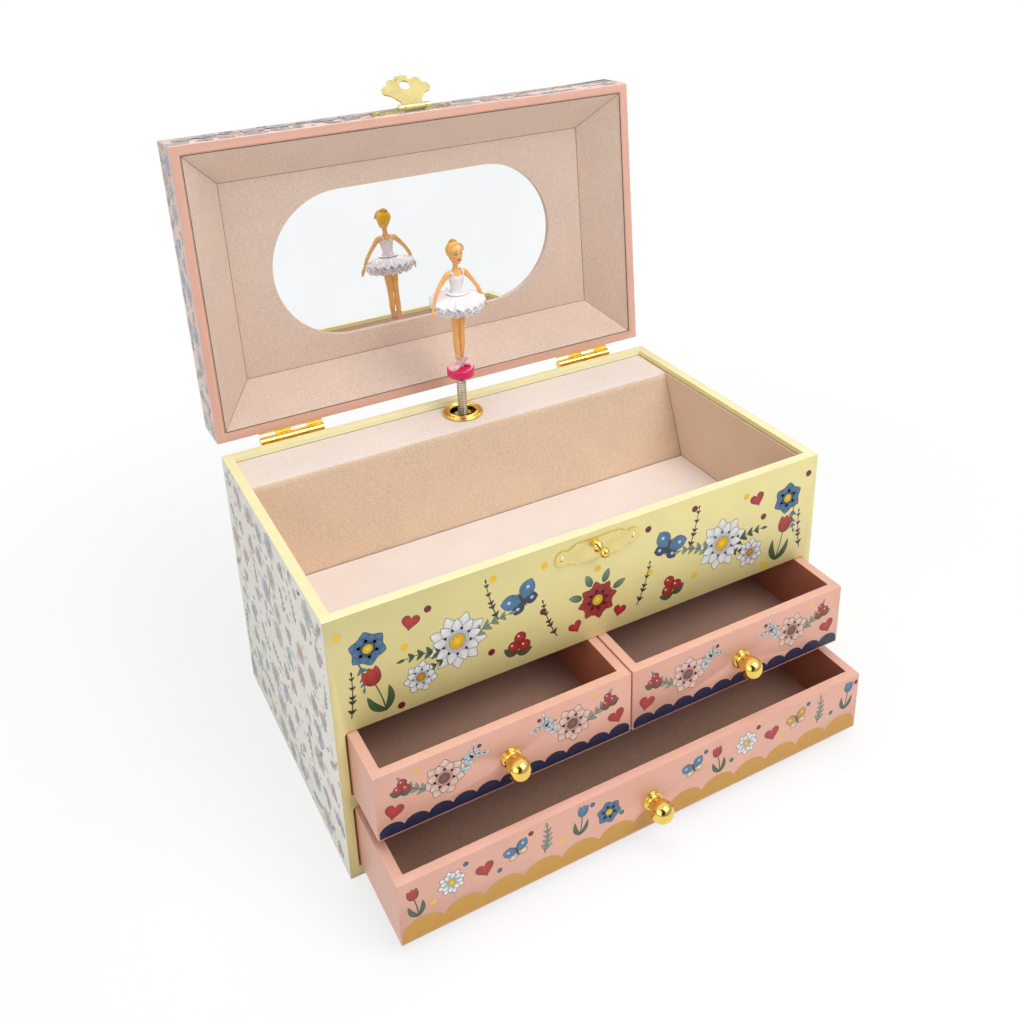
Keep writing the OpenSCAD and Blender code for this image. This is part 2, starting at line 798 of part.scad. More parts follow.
module left_drawer_back() {
    color("#eaa193") at_left_drawer() drawer_back(upper_drawer_w, upper_drawer_h);
}

module left_drawer_floor() {
    color("#c9ab94") at_left_drawer() drawer_floor(upper_drawer_w);
}

module left_drawer_knob() {
    color("goldenrod") at_left_drawer() drawer_knob();
}

module right_drawer_front() {
    color("#eaa193") at_right_drawer() drawer_front(upper_drawer_w, upper_drawer_h);
}

module right_drawer_sides() {
    color("#eaa193") at_right_drawer() drawer_sides(upper_drawer_w, upper_drawer_h);
}

module right_drawer_back() {
    color("#eaa193") at_right_drawer() drawer_back(upper_drawer_w, upper_drawer_h);
}

module right_drawer_floor() {
    color("#c9ab94") at_right_drawer() drawer_floor(upper_drawer_w);
}

module right_drawer_knob() {
    color("goldenrod") at_right_drawer() drawer_knob();
}

module lower_drawer_front() {
    color("#eaa193") at_lower_drawer() drawer_front(lower_drawer_w, lower_drawer_h);
}

module lower_drawer_sides() {
    color("#eaa193") at_lower_drawer() drawer_sides(lower_drawer_w, lower_drawer_h);
}

module lower_drawer_back() {
    color("#eaa193") at_lower_drawer() drawer_back(lower_drawer_w, lower_drawer_h);
}

module lower_drawer_floor() {
    color("#c9ab94") at_lower_drawer() drawer_floor(lower_drawer_w);
}

module lower_drawer_knob() {
    color("goldenrod") at_lower_drawer() drawer_knob();
}

// --- stem and dancer

module spindle() {
    color("silver") translate([0, spindle_y, 0]) {
        translate([0, 0, lower_lug_z]) cylinder(h = spindle_top - lower_lug_z, d = spindle_d);
        translate([0, 0, stem_z - collar_t]) cylinder(h = collar_t, d = spring_d);
        translate([0, 0, gear_z]) rotate([0, 0, pinion_phase()])
            linear_extrude(gear_t) gear_outline(pinion_teeth);
    }
}

// Turn that puts a tooth gap of the pinion in line with the cylinder wheel's tooth
function pinion_phase() =
    atan2(cylinder_y - spindle_y, cylinder_x) + 180 / pinion_teeth;

// Close-wound spring, swept along its own helix
module stem_spring() {
    sides = 5;
    steps = 12;
    wire_r = spring_wire_d / 2;
    mean_r = spring_d / 2 - wire_r;
    z0 = stem_z + wire_r;
    rise = disc_z - stem_z - spring_wire_d;
    rings = spring_turns * steps;
    function ring(i) =
        let (a = 360 * i / steps, z = z0 + rise * i / rings)
            [for (s = [0:sides - 1])
                let (b = 360 * s / sides, r = mean_r + wire_r * cos(b))
                    [r * cos(a), r * sin(a), z + wire_r * sin(b)]];
    points = [for (i = [0:rings]) each ring(i)];
    walls = [for (i = [0:rings - 1], s = [0:sides - 1])
        let (n = (s + 1) % sides)
            [i * sides + s, (i + 1) * sides + s, (i + 1) * sides + n, i * sides + n]];
    caps = [[for (s = [0:sides - 1]) s], [for (s = [sides - 1:-1:0]) rings * sides + s]];
    color("gray") translate([0, spindle_y, 0])
        polyhedron(points, concat(walls, caps), convexity = 10);
}

// Moulded disc with a rounded rim and a spigot that plugs the spring
module dancer_disc() {
    r = disc_d / 2;
    edge = 0.9;
    plug_r = spring_d / 2 - spring_wire_d - 0.15;
    color("deeppink") translate([0, spindle_y, disc_z]) rotate_extrude() {
        square([r, disc_t - edge]);
        square([r - edge, disc_t]);
        translate([r - edge, disc_t - edge]) circle(r = edge);
        translate([0, -3]) square([plug_r, 3 + eps]);
    }
}

// Closed skin through level oval sections, each [z, centre x, centre y, radius x, radius y]
module loft(sections, sides) {
    last = len(sections) - 1;
    points = [for (c = sections, i = [0:sides - 1])
        [c[1] + c[3] * cos(360 * i / sides), c[2] + c[4] * sin(360 * i / sides), c[0]]];
    walls = [for (k = [0:last - 1], i = [0:sides - 1], half = [0, 1])
        let (n = (i + 1) % sides, low = k * sides, high = low + sides)
            half == 0 ? [low + i, high + i, high + n] : [low + i, high + n, low + n]];
    caps = [[for (i = [0:sides - 1]) i], [for (i = [sides - 1:-1:0]) last * sides + i]];
    polyhedron(points, concat(walls, caps), convexity = 4);
}

// Limb between two round joints
module limb(from, to, r1, r2) {
    hull() {
        translate(from) sphere(r = r1, $fn = 12);
        translate(to) sphere(r = r2, $fn = 12);
    }
}

// Arm from the shoulder over the elbow to the open hand
module arm(side) {
    shoulder = [side * 4.1, 0.2, 0.75 * figure_h];
    elbow = [side * 9.3, 0.4, 0.655 * figure_h];
    hand = [side * 14.4, -2, 0.47 * figure_h];
    limb(shoulder, elbow, 1.35, 1.05);
    limb(elbow, hand, 1.05, 0.75);
}

// Leg in a shoe, toes turned out, one heel a little before the other's
module leg(side) {
    heel_y = side * 0.9;
    knee_z = 0.27 * figure_h;
    loft([[0, side * 1.4, heel_y, 1.1, 1.2], [3.4, side * 1.25, heel_y, 0.95, 1],
        [0.14 * figure_h, side * 1.6, heel_y * 0.5, 1.4, 1.5], [0.22 * figure_h, side * 1.6, 0, 1.4, 1.45],
        [knee_z, side * 1.6, 0, 1.4, 1.5], [0.42 * figure_h, side * 2.05, 0, 1.95, 2.1],
        [0.52 * figure_h, side * 2.2, 0, 2.1, 2.3]], 10);
    limb([side * 1.4, heel_y, 1.3], [side * 4.3, heel_y - 1.2, 0.95], 1.25, 0.9);
}

// Gathered skirt: a shallow dome whose hem swings up and down and in and out. Each row is a
// ring's share of the skirt's radius, its height over the hem and its share of the swing.
module skirt() {
    gathers = 13;
    sides = 4 * gathers;
    hem_z = 0.53 * figure_h;
    wave_h = 0.7;
    rows = [[0.26, 3.6, 0], [0.55, 2.6, 0.3], [0.86, 1.1, 0.75], [1, -0.6, 1],
        [0.9, -2.9, 1], [0.55, -2, 0.5], [0.2, -1, 0]];
    points = [for (row = rows, i = [0:sides - 1])
        let (a = 360 * i / sides, wave = wave_h * row[2] * cos(gathers * a),
            r = (skirt_r * figure_h / dancer_h - wave_h) * row[0] + wave)
            [r * cos(a), r * sin(a), hem_z + row[1] + wave * 0.7]];
    last = len(rows) - 1;
    walls = [for (k = [0:last - 1], i = [0:sides - 1], half = [0, 1])
        let (n = (i + 1) % sides, high = k * sides, low = high + sides)
            half == 0 ? [high + i, high + n, low + n] : [high + i, low + n, low + i]];
    caps = [[for (i = [sides - 1:-1:0]) i], [for (i = [0:sides - 1]) last * sides + i]];
    polyhedron(points, concat(walls, caps), convexity = 6);
}

// Standing dancer in a gathered skirt, facing the front, arms out beside the skirt
module dancer() {
    waist = 0.635 * figure_h;
    chest = 0.715 * figure_h;
    neck = 0.79 * figure_h;
    head_z = 0.905 * figure_h;
    color("mistyrose") translate([0, spindle_y, dancer_z]) scale(dancer_h / figure_h) {
        for (side = [-1, 1]) {
            leg(side);
            arm(side);
        }
        skirt();
        loft([[0.5 * figure_h, 0, 0, 3.9, 2.9], [0.57 * figure_h, 0, 0, 3.8, 2.8],
            [waist, 0, 0, 2.5, 2.1], [0.67 * figure_h, 0, -0.1, 3, 2.5], [chest, 0, -0.2, 3.5, 2.8],
            [0.75 * figure_h, 0, 0, 4.1, 2.2], [0.765 * figure_h, 0, 0.1, 3.6, 1.8],
            [neck, 0, 0.1, 1.35, 1.3], [0.83 * figure_h, 0, 0, 1.25, 1.3]], 16);
        loft([[head_z - 5.2, 0, -1, 1.3, 1.2], [head_z - 4, 0, -0.6, 2.5, 2.7],
            [head_z - 1.8, 0, -0.2, 3.2, 3.5], [head_z + 0.5, 0, 0.1, 3.5, 4],
            [head_z + 2.6, 0, 0.2, 3.1, 3.6], [head_z + 3.8, 0, 0.3, 2, 2.5],
            [head_z + 4.3, 0, 0.3, 0.8, 1]], 14);
        loft([[figure_h - 4.2, 0, 1.6, 1.6, 1.5], [figure_h - 3.3, 0, 1.5, 2.2, 2.1],
            [figure_h - 2, 0, 1.2, 2.4, 2.3], [figure_h - 0.8, 0, 1, 1.9, 1.8],
            [figure_h, 0, 0.9, 0.8, 0.8]], 12);
    }
}

// --- movement

// Places of the four screws through the back board into the bedplate: x and z
function screw_places() = [for (x = [plate_left + screw_in, plate_right - screw_in - 2],
    z = [movement_z + 2 * screw_in, movement_z + bedplate_h - 2 * screw_in]) [x, z]];

// Upright cast plate with lugs that carry the vertical shafts and a boss for the comb
module bedplate() {
    lug_reach = bedplate_y - cylinder_y + 3;
    boss_w = comb_base_len;
    color("silver") difference() {
        union() {
            board([plate_left, bedplate_y, movement_z], [plate_right - plate_left, bedplate_t, bedplate_h]);
            for (z = [lower_lug_z, upper_lug_z]) {
                board([cylinder_x - 3, cylinder_y - 3, z], [6, lug_reach, lug_t]);
                board([-3, spindle_y - 3, z], [6, bedplate_y - spindle_y + 3, lug_t]);
            }
            board([barrel_x - 3.5, barrel_y - 3.5, lower_lug_z], [7, bedplate_y - barrel_y + 3.5, lug_t]);
            board([comb_root_x - boss_w, cylinder_y + comb_t / 2, comb_z],
                [boss_w, bedplate_y - cylinder_y - comb_t / 2, comb_h]);
        }
        for (p = [[cylinder_x, cylinder_y], [0, spindle_y], [barrel_x, barrel_y]])
            translate([p[0], p[1], lower_lug_z - 1])
                cylinder(h = lug_t + 2, d = (p[0] == 0 ? spindle_d : shaft_d) + 2 * run_gap);
        for (p = [[cylinder_x, cylinder_y], [0, spindle_y]])
            translate([p[0], p[1], upper_lug_z - 1])
                cylinder(h = lug_t + 2, d = (p[0] == 0 ? spindle_d : shaft_d) + 2 * run_gap);
        for (p = screw_places())
            translate([p[0], inner_back_y + eps, p[1]])
                facing_front() cylinder(h = bedplate_t + 2 * eps, d = screw_d + 2 * run_gap);
        translate([barrel_x, inner_back_y + eps, key_z])
            facing_front() cylinder(h = bedplate_t + 2 * eps, d = arbor_d + 2 * run_gap);
        for (z = comb_screw_z())
            translate([comb_root_x - boss_w / 2, cylinder_y + 6, z])
                facing_front() cylinder(h = 12, d = screw_d + 2 * run_gap);
    }
}

function comb_screw_z() = [comb_z + comb_h * 0.25, comb_z + comb_h * 0.75];

// Toothed drum that holds the mainspring, on its own vertical shaft
module mainspring_barrel() {
    color("goldenrod") translate([barrel_x, barrel_y, 0]) {
        translate([0, 0, gear_z]) rotate([0, 0, barrel_phase()])
            linear_extrude(gear_t) gear_outline(barrel_teeth);
        translate([0, 0, gear_z + gear_t - eps]) cylinder(h = barrel_h - gear_t, r = barrel_wheel_r - 1.4);
        translate([0, 0, lower_lug_z]) cylinder(h = gear_z - lower_lug_z + eps, d = shaft_d);
    }
}

// Turn that puts a barrel tooth in line with a gap of the pinion on the spindle. The
// pinion's phase is carried round from the cylinder's side to the barrel's side.
function barrel_phase() =
    let (to_spindle = atan2(spindle_y - barrel_y, -barrel_x),
        to_barrel = to_spindle + 180,
        pinion_step = 360 / pinion_teeth,
        off = to_barrel - pinion_phase() - pinion_step / 2,
        part = off / pinion_step - floor(off / pinion_step))
    to_spindle + part * 360 / barrel_teeth;

// Closed cast box over the barrel that holds the winding bevels
module winding_gearbox() {
    w = 15;
    front = barrel_y - 7;
    color("silver") difference() {
        board([barrel_x - w / 2, front, gearbox_z], [w, bedplate_y - front, gearbox_h]);
        translate([barrel_x, bedplate_y + eps, key_z])
            facing_front() cylinder(h = 8, d = arbor_d + 2 * run_gap);
    }
}

// Winding arbor through the back board, with a two-winged key on its end
module winding_key() {
    wing_t = 1.6;
    wing_h = key_w / 2;
    wing_x = 0.62 * wing_h;
    spread = (key_w - wing_h) / 2;
    out = back_y + key_shaft_len;
    color("silver") translate([barrel_x, 0, key_z]) {
        translate([0, out, 0]) facing_front()
            cylinder(h = out - bedplate_y + 6, d = arbor_d);
        translate([0, out, 0]) facing_front() cylinder(h = key_shaft_len - side_gap, d = 5.4);
        translate([0, out - 3, 0]) rotate([90, 0, 90]) translate([0, 0, -wing_t / 2])
            linear_extrude(wing_t) difference() {
                union() {
                    translate([0, -wing_h / 4]) square([wing_x, wing_h / 2]);
                    for (side = [-1, 1])
                        translate([wing_x, side * spread]) circle(d = wing_h);
                    translate([wing_x - 0.38 * wing_h, -spread]) square([0.76 * wing_h, 2 * spread]);
                }
                for (side = [-1, 1])
                    translate([wing_x, side * spread]) circle(d = wing_h * 0.42);
            }
    }
}

// Pinned cylinder with its wheel and shaft. Pins follow the comb's pitch.
module cylinder_pins() {
    golden = 137.5;
    per_row = 3;
    for (row = [0:comb_teeth - 1], k = [0:per_row - 1])
        rotate([0, 0, 20 + golden * (row * per_row + k)])
            translate([cylinder_d / 2 - 0.4, 0, comb_z + (row + 0.5) * comb_pitch])
                rotate([0, 90, 0]) cylinder(h = pin_h + 0.4, d = 0.6);
}

module pinned_cylinder() {
    translate([cylinder_x, cylinder_y, 0]) {
        translate([0, 0, lower_lug_z]) cylinder(h = upper_lug_z + lug_t - lower_lug_z, d = shaft_d);
        translate([0, 0, drum_z]) cylinder(h = drum_len, d = cylinder_d);
        translate([0, 0, gear_z])
            rotate([0, 0, atan2(spindle_y - cylinder_y, -cylinder_x)])
                linear_extrude(gear_t) gear_outline(cylinder_teeth);
        translate([0, 0, gear_z + gear_t - eps]) cylinder(h = drum_z - gear_z - gear_t + 2 * eps, r = 4);
        cylinder_pins();
    }
}

// Steel comb with one tooth for each row of pins
module comb() {
    tooth_t = 0.6;
    tooth_w = comb_pitch - 0.25;
    color("lightgray") difference() {
        union() {
            board([comb_root_x - comb_base_len, cylinder_y - comb_t / 2, comb_z],
                [comb_base_len, comb_t, comb_h]);
            for (i = [0:comb_teeth - 1])
                translate([comb_root_x - eps, cylinder_y, comb_z + (i + 0.5) * comb_pitch])
                    board([0, -tooth_t / 2, -tooth_w / 2], [comb_tooth_len + eps, tooth_t, tooth_w]);
        }
        for (z = comb_screw_z())
            translate([comb_root_x - comb_base_len / 2, cylinder_y + comb_t, z])
                facing_front() cylinder(h = 2 * comb_t, d = screw_d + 2 * run_gap);
    }
}

// Closed housing of the air governor, and the pinion that the cylinder wheel turns
module governor() {
    block_w = 9.5;
    block_h = 5.5;
    arm_w = 7;
    left = plate_left + 1;
    color("ivory") difference() {
        board([left, governor_y - arm_w / 2, lower_lug_z],
            [governor_x + arm_w / 2 - left, arm_w, lug_t - 0.4]);
        translate([governor_x, governor_y, lower_lug_z - 1])
            cylinder(h = lug_t + 2, d = shaft_d + 2 * run_gap);
    }
    color("ivory")
        board([left, governor_y - arm_w / 2, lower_lug_z],
            [block_w, bedplate_y - governor_y + arm_w / 2, block_h]);
}

module governor_pinion() {
    phase = governor_angle + 180 + 180 / governor_teeth + governor_shift();
    color("ivory") translate([governor_x, governor_y, 0]) {
        translate([0, 0, gear_z]) rotate([0, 0, phase])
            linear_extrude(gear_t) gear_outline(governor_teeth);
        translate([0, 0, lower_lug_z]) cylinder(h = gear_z - lower_lug_z + eps, d = shaft_d);
    }
}

// Turn of the governor pinion that matches the cylinder wheel's teeth at their contact
function governor_shift() =
    let (step = 360 / cylinder_teeth,
        off = governor_angle - atan2(spindle_y - cylinder_y, -cylinder_x),
        part = off / step - floor(off / step))
    part * 360 / governor_teeth;

module movement_screws() {
    color("silver") {
        for (p = screw_places())
            translate([p[0], back_y, p[1]]) {
                facing_front() cylinder(h = board_t + bedplate_t, d = screw_d);
                rotate([-90, 0, 0]) cylinder(h = screw_head_t, d1 = screw_head_d, d2 = screw_head_d * 0.7);
            }
        for (z = comb_screw_z())
            translate([comb_root_x - comb_base_len / 2, cylinder_y - comb_t / 2, z]) {
                rotate([-90, 0, 0]) cylinder(h = 6, d = screw_d);
                facing_front() cylinder(h = 1.2, d1 = 4, d2 = 3);
            }
    }
}

front_frame();
left_panel();
right_panel();
back_panel();
bottom_panel();
drawer_shelf();
tray_deck();
tray_lining_floor();
tray_lining_walls();
mechanism_cover();
spindle_ferrule();
clasp_plate();
clasp_post();
clasp_nails();
hinge_body_leaf_left();
hinge_body_leaf_right();
hinge_lid_leaf_left();
hinge_lid_leaf_right();
hinge_pins();
hinge_body_nails();
hinge_lid_nails();
lid_front_rail();
lid_back_rail();
lid_side_rails();
lid_top();
lid_lining_long();
lid_lining_ends();
lid_lining_panel();
lid_mirror();
hasp_plate();
hasp_nails();
hasp();
left_drawer_front();
left_drawer_sides();
left_drawer_back();
left_drawer_floor();
left_drawer_knob();
right_drawer_front();
right_drawer_sides();
right_drawer_back();
right_drawer_floor();
right_drawer_knob();
lower_drawer_front();
lower_drawer_sides();
lower_drawer_back();
lower_drawer_floor();
lower_drawer_knob();
spindle();
stem_spring();
dancer_disc();
dancer();
bedplate();
mainspring_barrel();
winding_gearbox();
winding_key();
pinned_cylinder();
comb();
governor();
governor_pinion();
movement_screws();
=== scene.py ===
import bpy, bmesh, json, random
from math import atan2, cos, exp, pi, radians, sin
from mathutils import Matrix, Vector


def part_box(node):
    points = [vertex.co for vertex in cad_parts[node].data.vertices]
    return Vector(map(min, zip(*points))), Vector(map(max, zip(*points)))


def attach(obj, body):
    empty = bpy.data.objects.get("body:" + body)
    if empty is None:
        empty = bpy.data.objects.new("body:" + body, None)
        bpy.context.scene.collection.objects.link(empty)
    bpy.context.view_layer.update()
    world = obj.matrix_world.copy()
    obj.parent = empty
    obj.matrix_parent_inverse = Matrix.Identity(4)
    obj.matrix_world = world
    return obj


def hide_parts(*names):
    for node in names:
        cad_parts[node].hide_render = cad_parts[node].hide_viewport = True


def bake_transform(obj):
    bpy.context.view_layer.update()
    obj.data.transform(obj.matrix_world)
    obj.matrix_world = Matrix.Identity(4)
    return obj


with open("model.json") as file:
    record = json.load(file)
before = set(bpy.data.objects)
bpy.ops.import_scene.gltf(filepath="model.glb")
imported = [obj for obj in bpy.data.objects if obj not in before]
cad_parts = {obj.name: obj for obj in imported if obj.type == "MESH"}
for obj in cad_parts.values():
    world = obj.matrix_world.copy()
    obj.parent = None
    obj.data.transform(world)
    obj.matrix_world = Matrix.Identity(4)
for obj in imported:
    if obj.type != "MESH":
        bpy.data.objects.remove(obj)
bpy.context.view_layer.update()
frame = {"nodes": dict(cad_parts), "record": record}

NODES = frame["nodes"]
BODY_OF = {n: b for b, members in frame["record"]["behaviour"]["bodies"].items() for n in members}
MM = 0.001
TURN = radians(6)           # how far the dancer faces round from the front
SPINDLE_Y = 53.0            # mm, the axis of the stem, disc and dancer
AXIS, DISC_TOP = 0.053, 0.1426      # the same axis and the dancer's feet, in metres
FULL, QUARTER = 6.2832, 1.5708      # turns of the printed shapes, in radians
for o in bpy.context.selected_objects:
    o.select_set(False)


# ---- shader arithmetic

class S:
    """A shader socket that can be added, multiplied and blended like a number."""

    def __init__(self, tree, out):
        self.tree, self.out = tree, out

    def node(self, kind, out=0, props=None, **inputs):
        n = self.tree.nodes.new(kind)
        for k, v in (props or {}).items():
            setattr(n, k, v)
        for k, v in inputs.items():
            key = int(k[1:]) if k[0] == "i" and k[1:].isdigit() else k.replace("_", " ")
            if isinstance(v, S):
                self.tree.links.new(v.out, n.inputs[key])
            else:
                n.inputs[key].default_value = v
        return S(self.tree, n.outputs[out])

    def math(self, op, a, b=0.0):
        return self.node("ShaderNodeMath", props={"operation": op}, i0=a, i1=b)

    def __add__(self, b): return self.math("ADD", self, b)
    def __radd__(self, b): return self.math("ADD", self, b)
    def __sub__(self, b): return self.math("SUBTRACT", self, b)
    def __mul__(self, b): return self.math("MULTIPLY", self, b)
    def __rmul__(self, b): return self.math("MULTIPLY", self, b)
    def __abs__(self): return self.math("ABSOLUTE", self)

    def at_least(self, b): return self.math("MAXIMUM", self, b)

    def ramp(self, a, b, lo=0.0, hi=1.0):
        """Smooth step from lo at a to hi at b."""
        return self.node("ShaderNodeMapRange", props={"interpolation_type": "SMOOTHSTEP"},
                         i0=self, i1=a, i2=b, i3=lo, i4=hi)

    def mix(self, a, b):
        """Colour a where this is 0, colour b where it is 1."""
        rgba = lambda c: c if isinstance(c, S) else (*c, 1)
        return self.node("ShaderNodeMix", out=2, props={"data_type": "RGBA"}, i0=self, i6=rgba(a), i7=rgba(b))

    def tone(self, colour, low, high, lo=0.3, hi=0.7):
        """A colour's shades, from low to high as this rises from lo to hi."""
        return self.ramp(lo, hi).mix(shade(colour, low), shade(colour, high))

    def noise(self, scale, detail=2.0, rough=0.5):
        return self.node("ShaderNodeTexNoise", Vector=self, Scale=scale, Detail=detail, Roughness=rough)

    def scaled(self, x, y, z):
        return self.node("ShaderNodeMapping", Vector=self, Scale=(x, y, z))

    def axis(self, k):
        return self.node("ShaderNodeSeparateXYZ", out=k, i0=self)


def shade(c, k):
    return tuple(min(1.0, v * k) for v in c)


def srgb(r, g, b):
    """Linear colour of an 0 to 255 screen colour."""
    return tuple((v / 255 / 12.92) if v <= 10 else ((v / 255 + 0.055) / 1.055) ** 2.4 for v in (r, g, b))


def material(name, paint, metallic=0.0, **constants):
    """A material whose paint(P) returns base colour, roughness and bump height from object coordinates P."""
    m = bpy.data.materials.new(name)
    m.use_nodes = True
    t = m.node_tree
    bsdf = t.nodes["Principled BSDF"]
    where = t.nodes.new("ShaderNodeTexCoord")
    P = S(t, where.outputs["Object"])
    base, rough, height, strength, depth = paint(P)
    t.links.new(base.out, bsdf.inputs["Base Color"])
    t.links.new(rough.out, bsdf.inputs["Roughness"])
    if height is not None:
        bump = P.node("ShaderNodeBump", Height=height, Strength=strength, Distance=depth)
        t.links.new(bump.out, bsdf.inputs["Normal"])
    bsdf.inputs["Metallic"].default_value = metallic
    for k, v in constants.items():
        bsdf.inputs[k.replace("_", " ")].default_value = v
    return m


def paper(name, colour, gloss=0.42):
    """Satin printed paper over board: faint mottle, and the board's grain in the gloss."""
    def paint(P):
        mottle = P.noise(90.0, 3.0)
        fibre = P.noise(2600.0, 2.0, 0.6)
        col = mottle.tone(colour, 0.965, 1.02, 0.35, 0.65)
        col = fibre.ramp(0.3, 0.75).mix(col, shade(colour, 1.03))
        return col, gloss + 0.16 * (P.noise(400.0, 3.0) - 0.5), fibre + 0.6 * P.noise(700.0), 0.10, 0.0002
    return material(name, paint, Coat_Weight=0.12, Coat_Roughness=0.25)


def printed(name):
    """Printed paper whose ink is painted on the mesh."""
    def paint(P):
        ink = P.node("ShaderNodeVertexColor", props={"layer_name": "Ink"})
        fleck = P.noise(1800.0, 2.0, 0.6)
        wash = P.noise(260.0, 3.0)
        col = ink.node("ShaderNodeHueSaturation", Color=ink, Value=0.94 + 0.12 * wash, Saturation=1.0)
        return col, 0.4 + 0.14 * (fleck - 0.5), fleck, 0.08, 0.0002
    return material(name, paint, Coat_Weight=0.12, Coat_Roughness=0.25)


def flock(name, colour, dark=0.86):
    """Flocked paper: short fibres, speckled tone, no gloss."""
    def paint(P):
        speck = P.noise(1500.0, 2.0, 0.7)
        cloud = P.noise(55.0, 3.0)
        col = speck.tone(colour, dark, 1.05, 0.36, 0.66)
        col = cloud.ramp(0.3, 0.7).mix(col, speck.tone(colour, dark + 0.03, 1.08))
        return col, 0.9 + 0.1 * speck, speck + 0.5 * P.noise(4200.0), 0.35, 0.0003
    return material(name, paint, Sheen_Weight=0.35, Sheen_Roughness=0.5, Specular_IOR_Level=0.2)


def metal(name, colour, gloss, brushed=None):
    """Polished or brushed metal with faint smears and fine scratches."""
    def paint(P):
        smear = P.noise(160.0, 3.0)
        Q = P if brushed is None else P.scaled(*brushed)
        grain = Q.noise(3000.0, 2.0, 0.6)
        col = smear.tone(colour, 0.93, 1.04, 0.35, 0.7)
        rough = gloss + 0.08 * (smear - 0.4) + 0.05 * (grain - 0.5)
        return col, rough.at_least(0.02), grain, 0.06 if brushed is None else 0.15, 0.0001
    return material(name, paint, metallic=1.0)


def plastic(name, colour, gloss, soft=0.1):
    """Moulded plastic: even colour, slight flow marks in the gloss."""
    def paint(P):
        flow = P.noise(120.0, 3.0)
        fine = P.noise(900.0, 2.0)
        col = flow.tone(colour, 0.96, 1.03)
        return col, gloss + 0.12 * (fine - 0.5), fine, 0.05, 0.0002
    return material(name, paint, Subsurface_Weight=soft, Subsurface_Scale=0.002, Coat_Weight=0.1)


def doll_skin(name, colour):
    """Painted doll: warm skin, blushed cheeks, red lips, closed lids with lashes, and brows."""
    def paint(P):
        turned = P.node("ShaderNodeVectorRotate", props={"rotation_type": "Z_AXIS"}, i0=P, i1=(0, AXIS, 0),
                        i3=-TURN)
        x, y, z = (turned.axis(k) for k in range(3))
        x, y, z = x * 1000.0, (y - AXIS) * 1000.0, (z - DISC_TOP) * 1000.0
        front = (y * -1.0).ramp(1.0, 1.5)
        ax = abs(x)
        flow = P.noise(140.0, 3.0)
        col = flow.tone(colour, 0.95, 1.04)

        def far(cx, cz, wx, wz):
            """Squared distance from a place on the face, in its own widths."""
            across, up = (ax - cx) * (1 / wx), (z - cz) * (1 / wz)
            return across * across + up * up

        cheek = far(1.95, 55.4, 1.1, 0.9).ramp(0.0, 1.0, 0.5, 0.0) * front
        col = cheek.mix(col, srgb(232, 112, 96))
        lips = far(0.0, 54.4, 1.05, 0.46).ramp(0.8, 1.1, 1.0, 0.0) * front
        col = lips.mix(col, srgb(190, 34, 44))
        d = ax - 1.42
        lid = abs(z - 57.0 - d * d * 0.42).ramp(0.15, 0.24, 1.0, 0.0)
        lid = lid * abs(d).ramp(0.85, 0.95, 1.0, 0.0) * front
        brow = abs(z - 58.45 + d * d * 0.3).ramp(0.10, 0.20, 1.0, 0.0)
        brow = brow * abs(d - 0.05).ramp(0.8, 0.95, 1.0, 0.0) * front
        col = lid.mix(col, srgb(70, 40, 30))
        col = (brow * 0.85).mix(col, srgb(120, 76, 40))
        return col, 0.42 + 0.1 * (flow - 0.5) - 0.12 * lips, flow, 0.04, 0.0002
    return material(name, paint, Subsurface_Weight=0.18, Subsurface_Scale=0.0015, Coat_Weight=0.08)


def board(name, colour):
    """Raw greyboard: pressed fibres and darker flecks."""
    def paint(P):
        fibre = P.scaled(1.0, 1.0, 3.0).noise(900.0, 4.0, 0.7)
        fleck = P.noise(2400.0, 1.0)
        col = fibre.tone(colour, 0.8, 1.1)
        col = fleck.ramp(0.68, 0.74).mix(col, shade(colour, 0.5))
        return col, 0.85 + 0.1 * fibre, fibre, 0.3, 0.0003
    return material(name, paint)


def glass_mirror(name):
    def paint(P):
        haze = P.noise(25.0, 3.0)
        col = haze.ramp(0.3, 0.7).mix((0.90, 0.92, 0.93), (0.93, 0.95, 0.955))
        return col, 0.004 + 0.01 * haze, None, 0, 0
    return material(name, paint, metallic=1.0)


YELLOW = srgb(239, 226, 157)
CREAM = srgb(244, 240, 226)
SALMON = srgb(232, 176, 155)
PINK = srgb(243, 214, 204)
BLUSH = srgb(228, 200, 173)

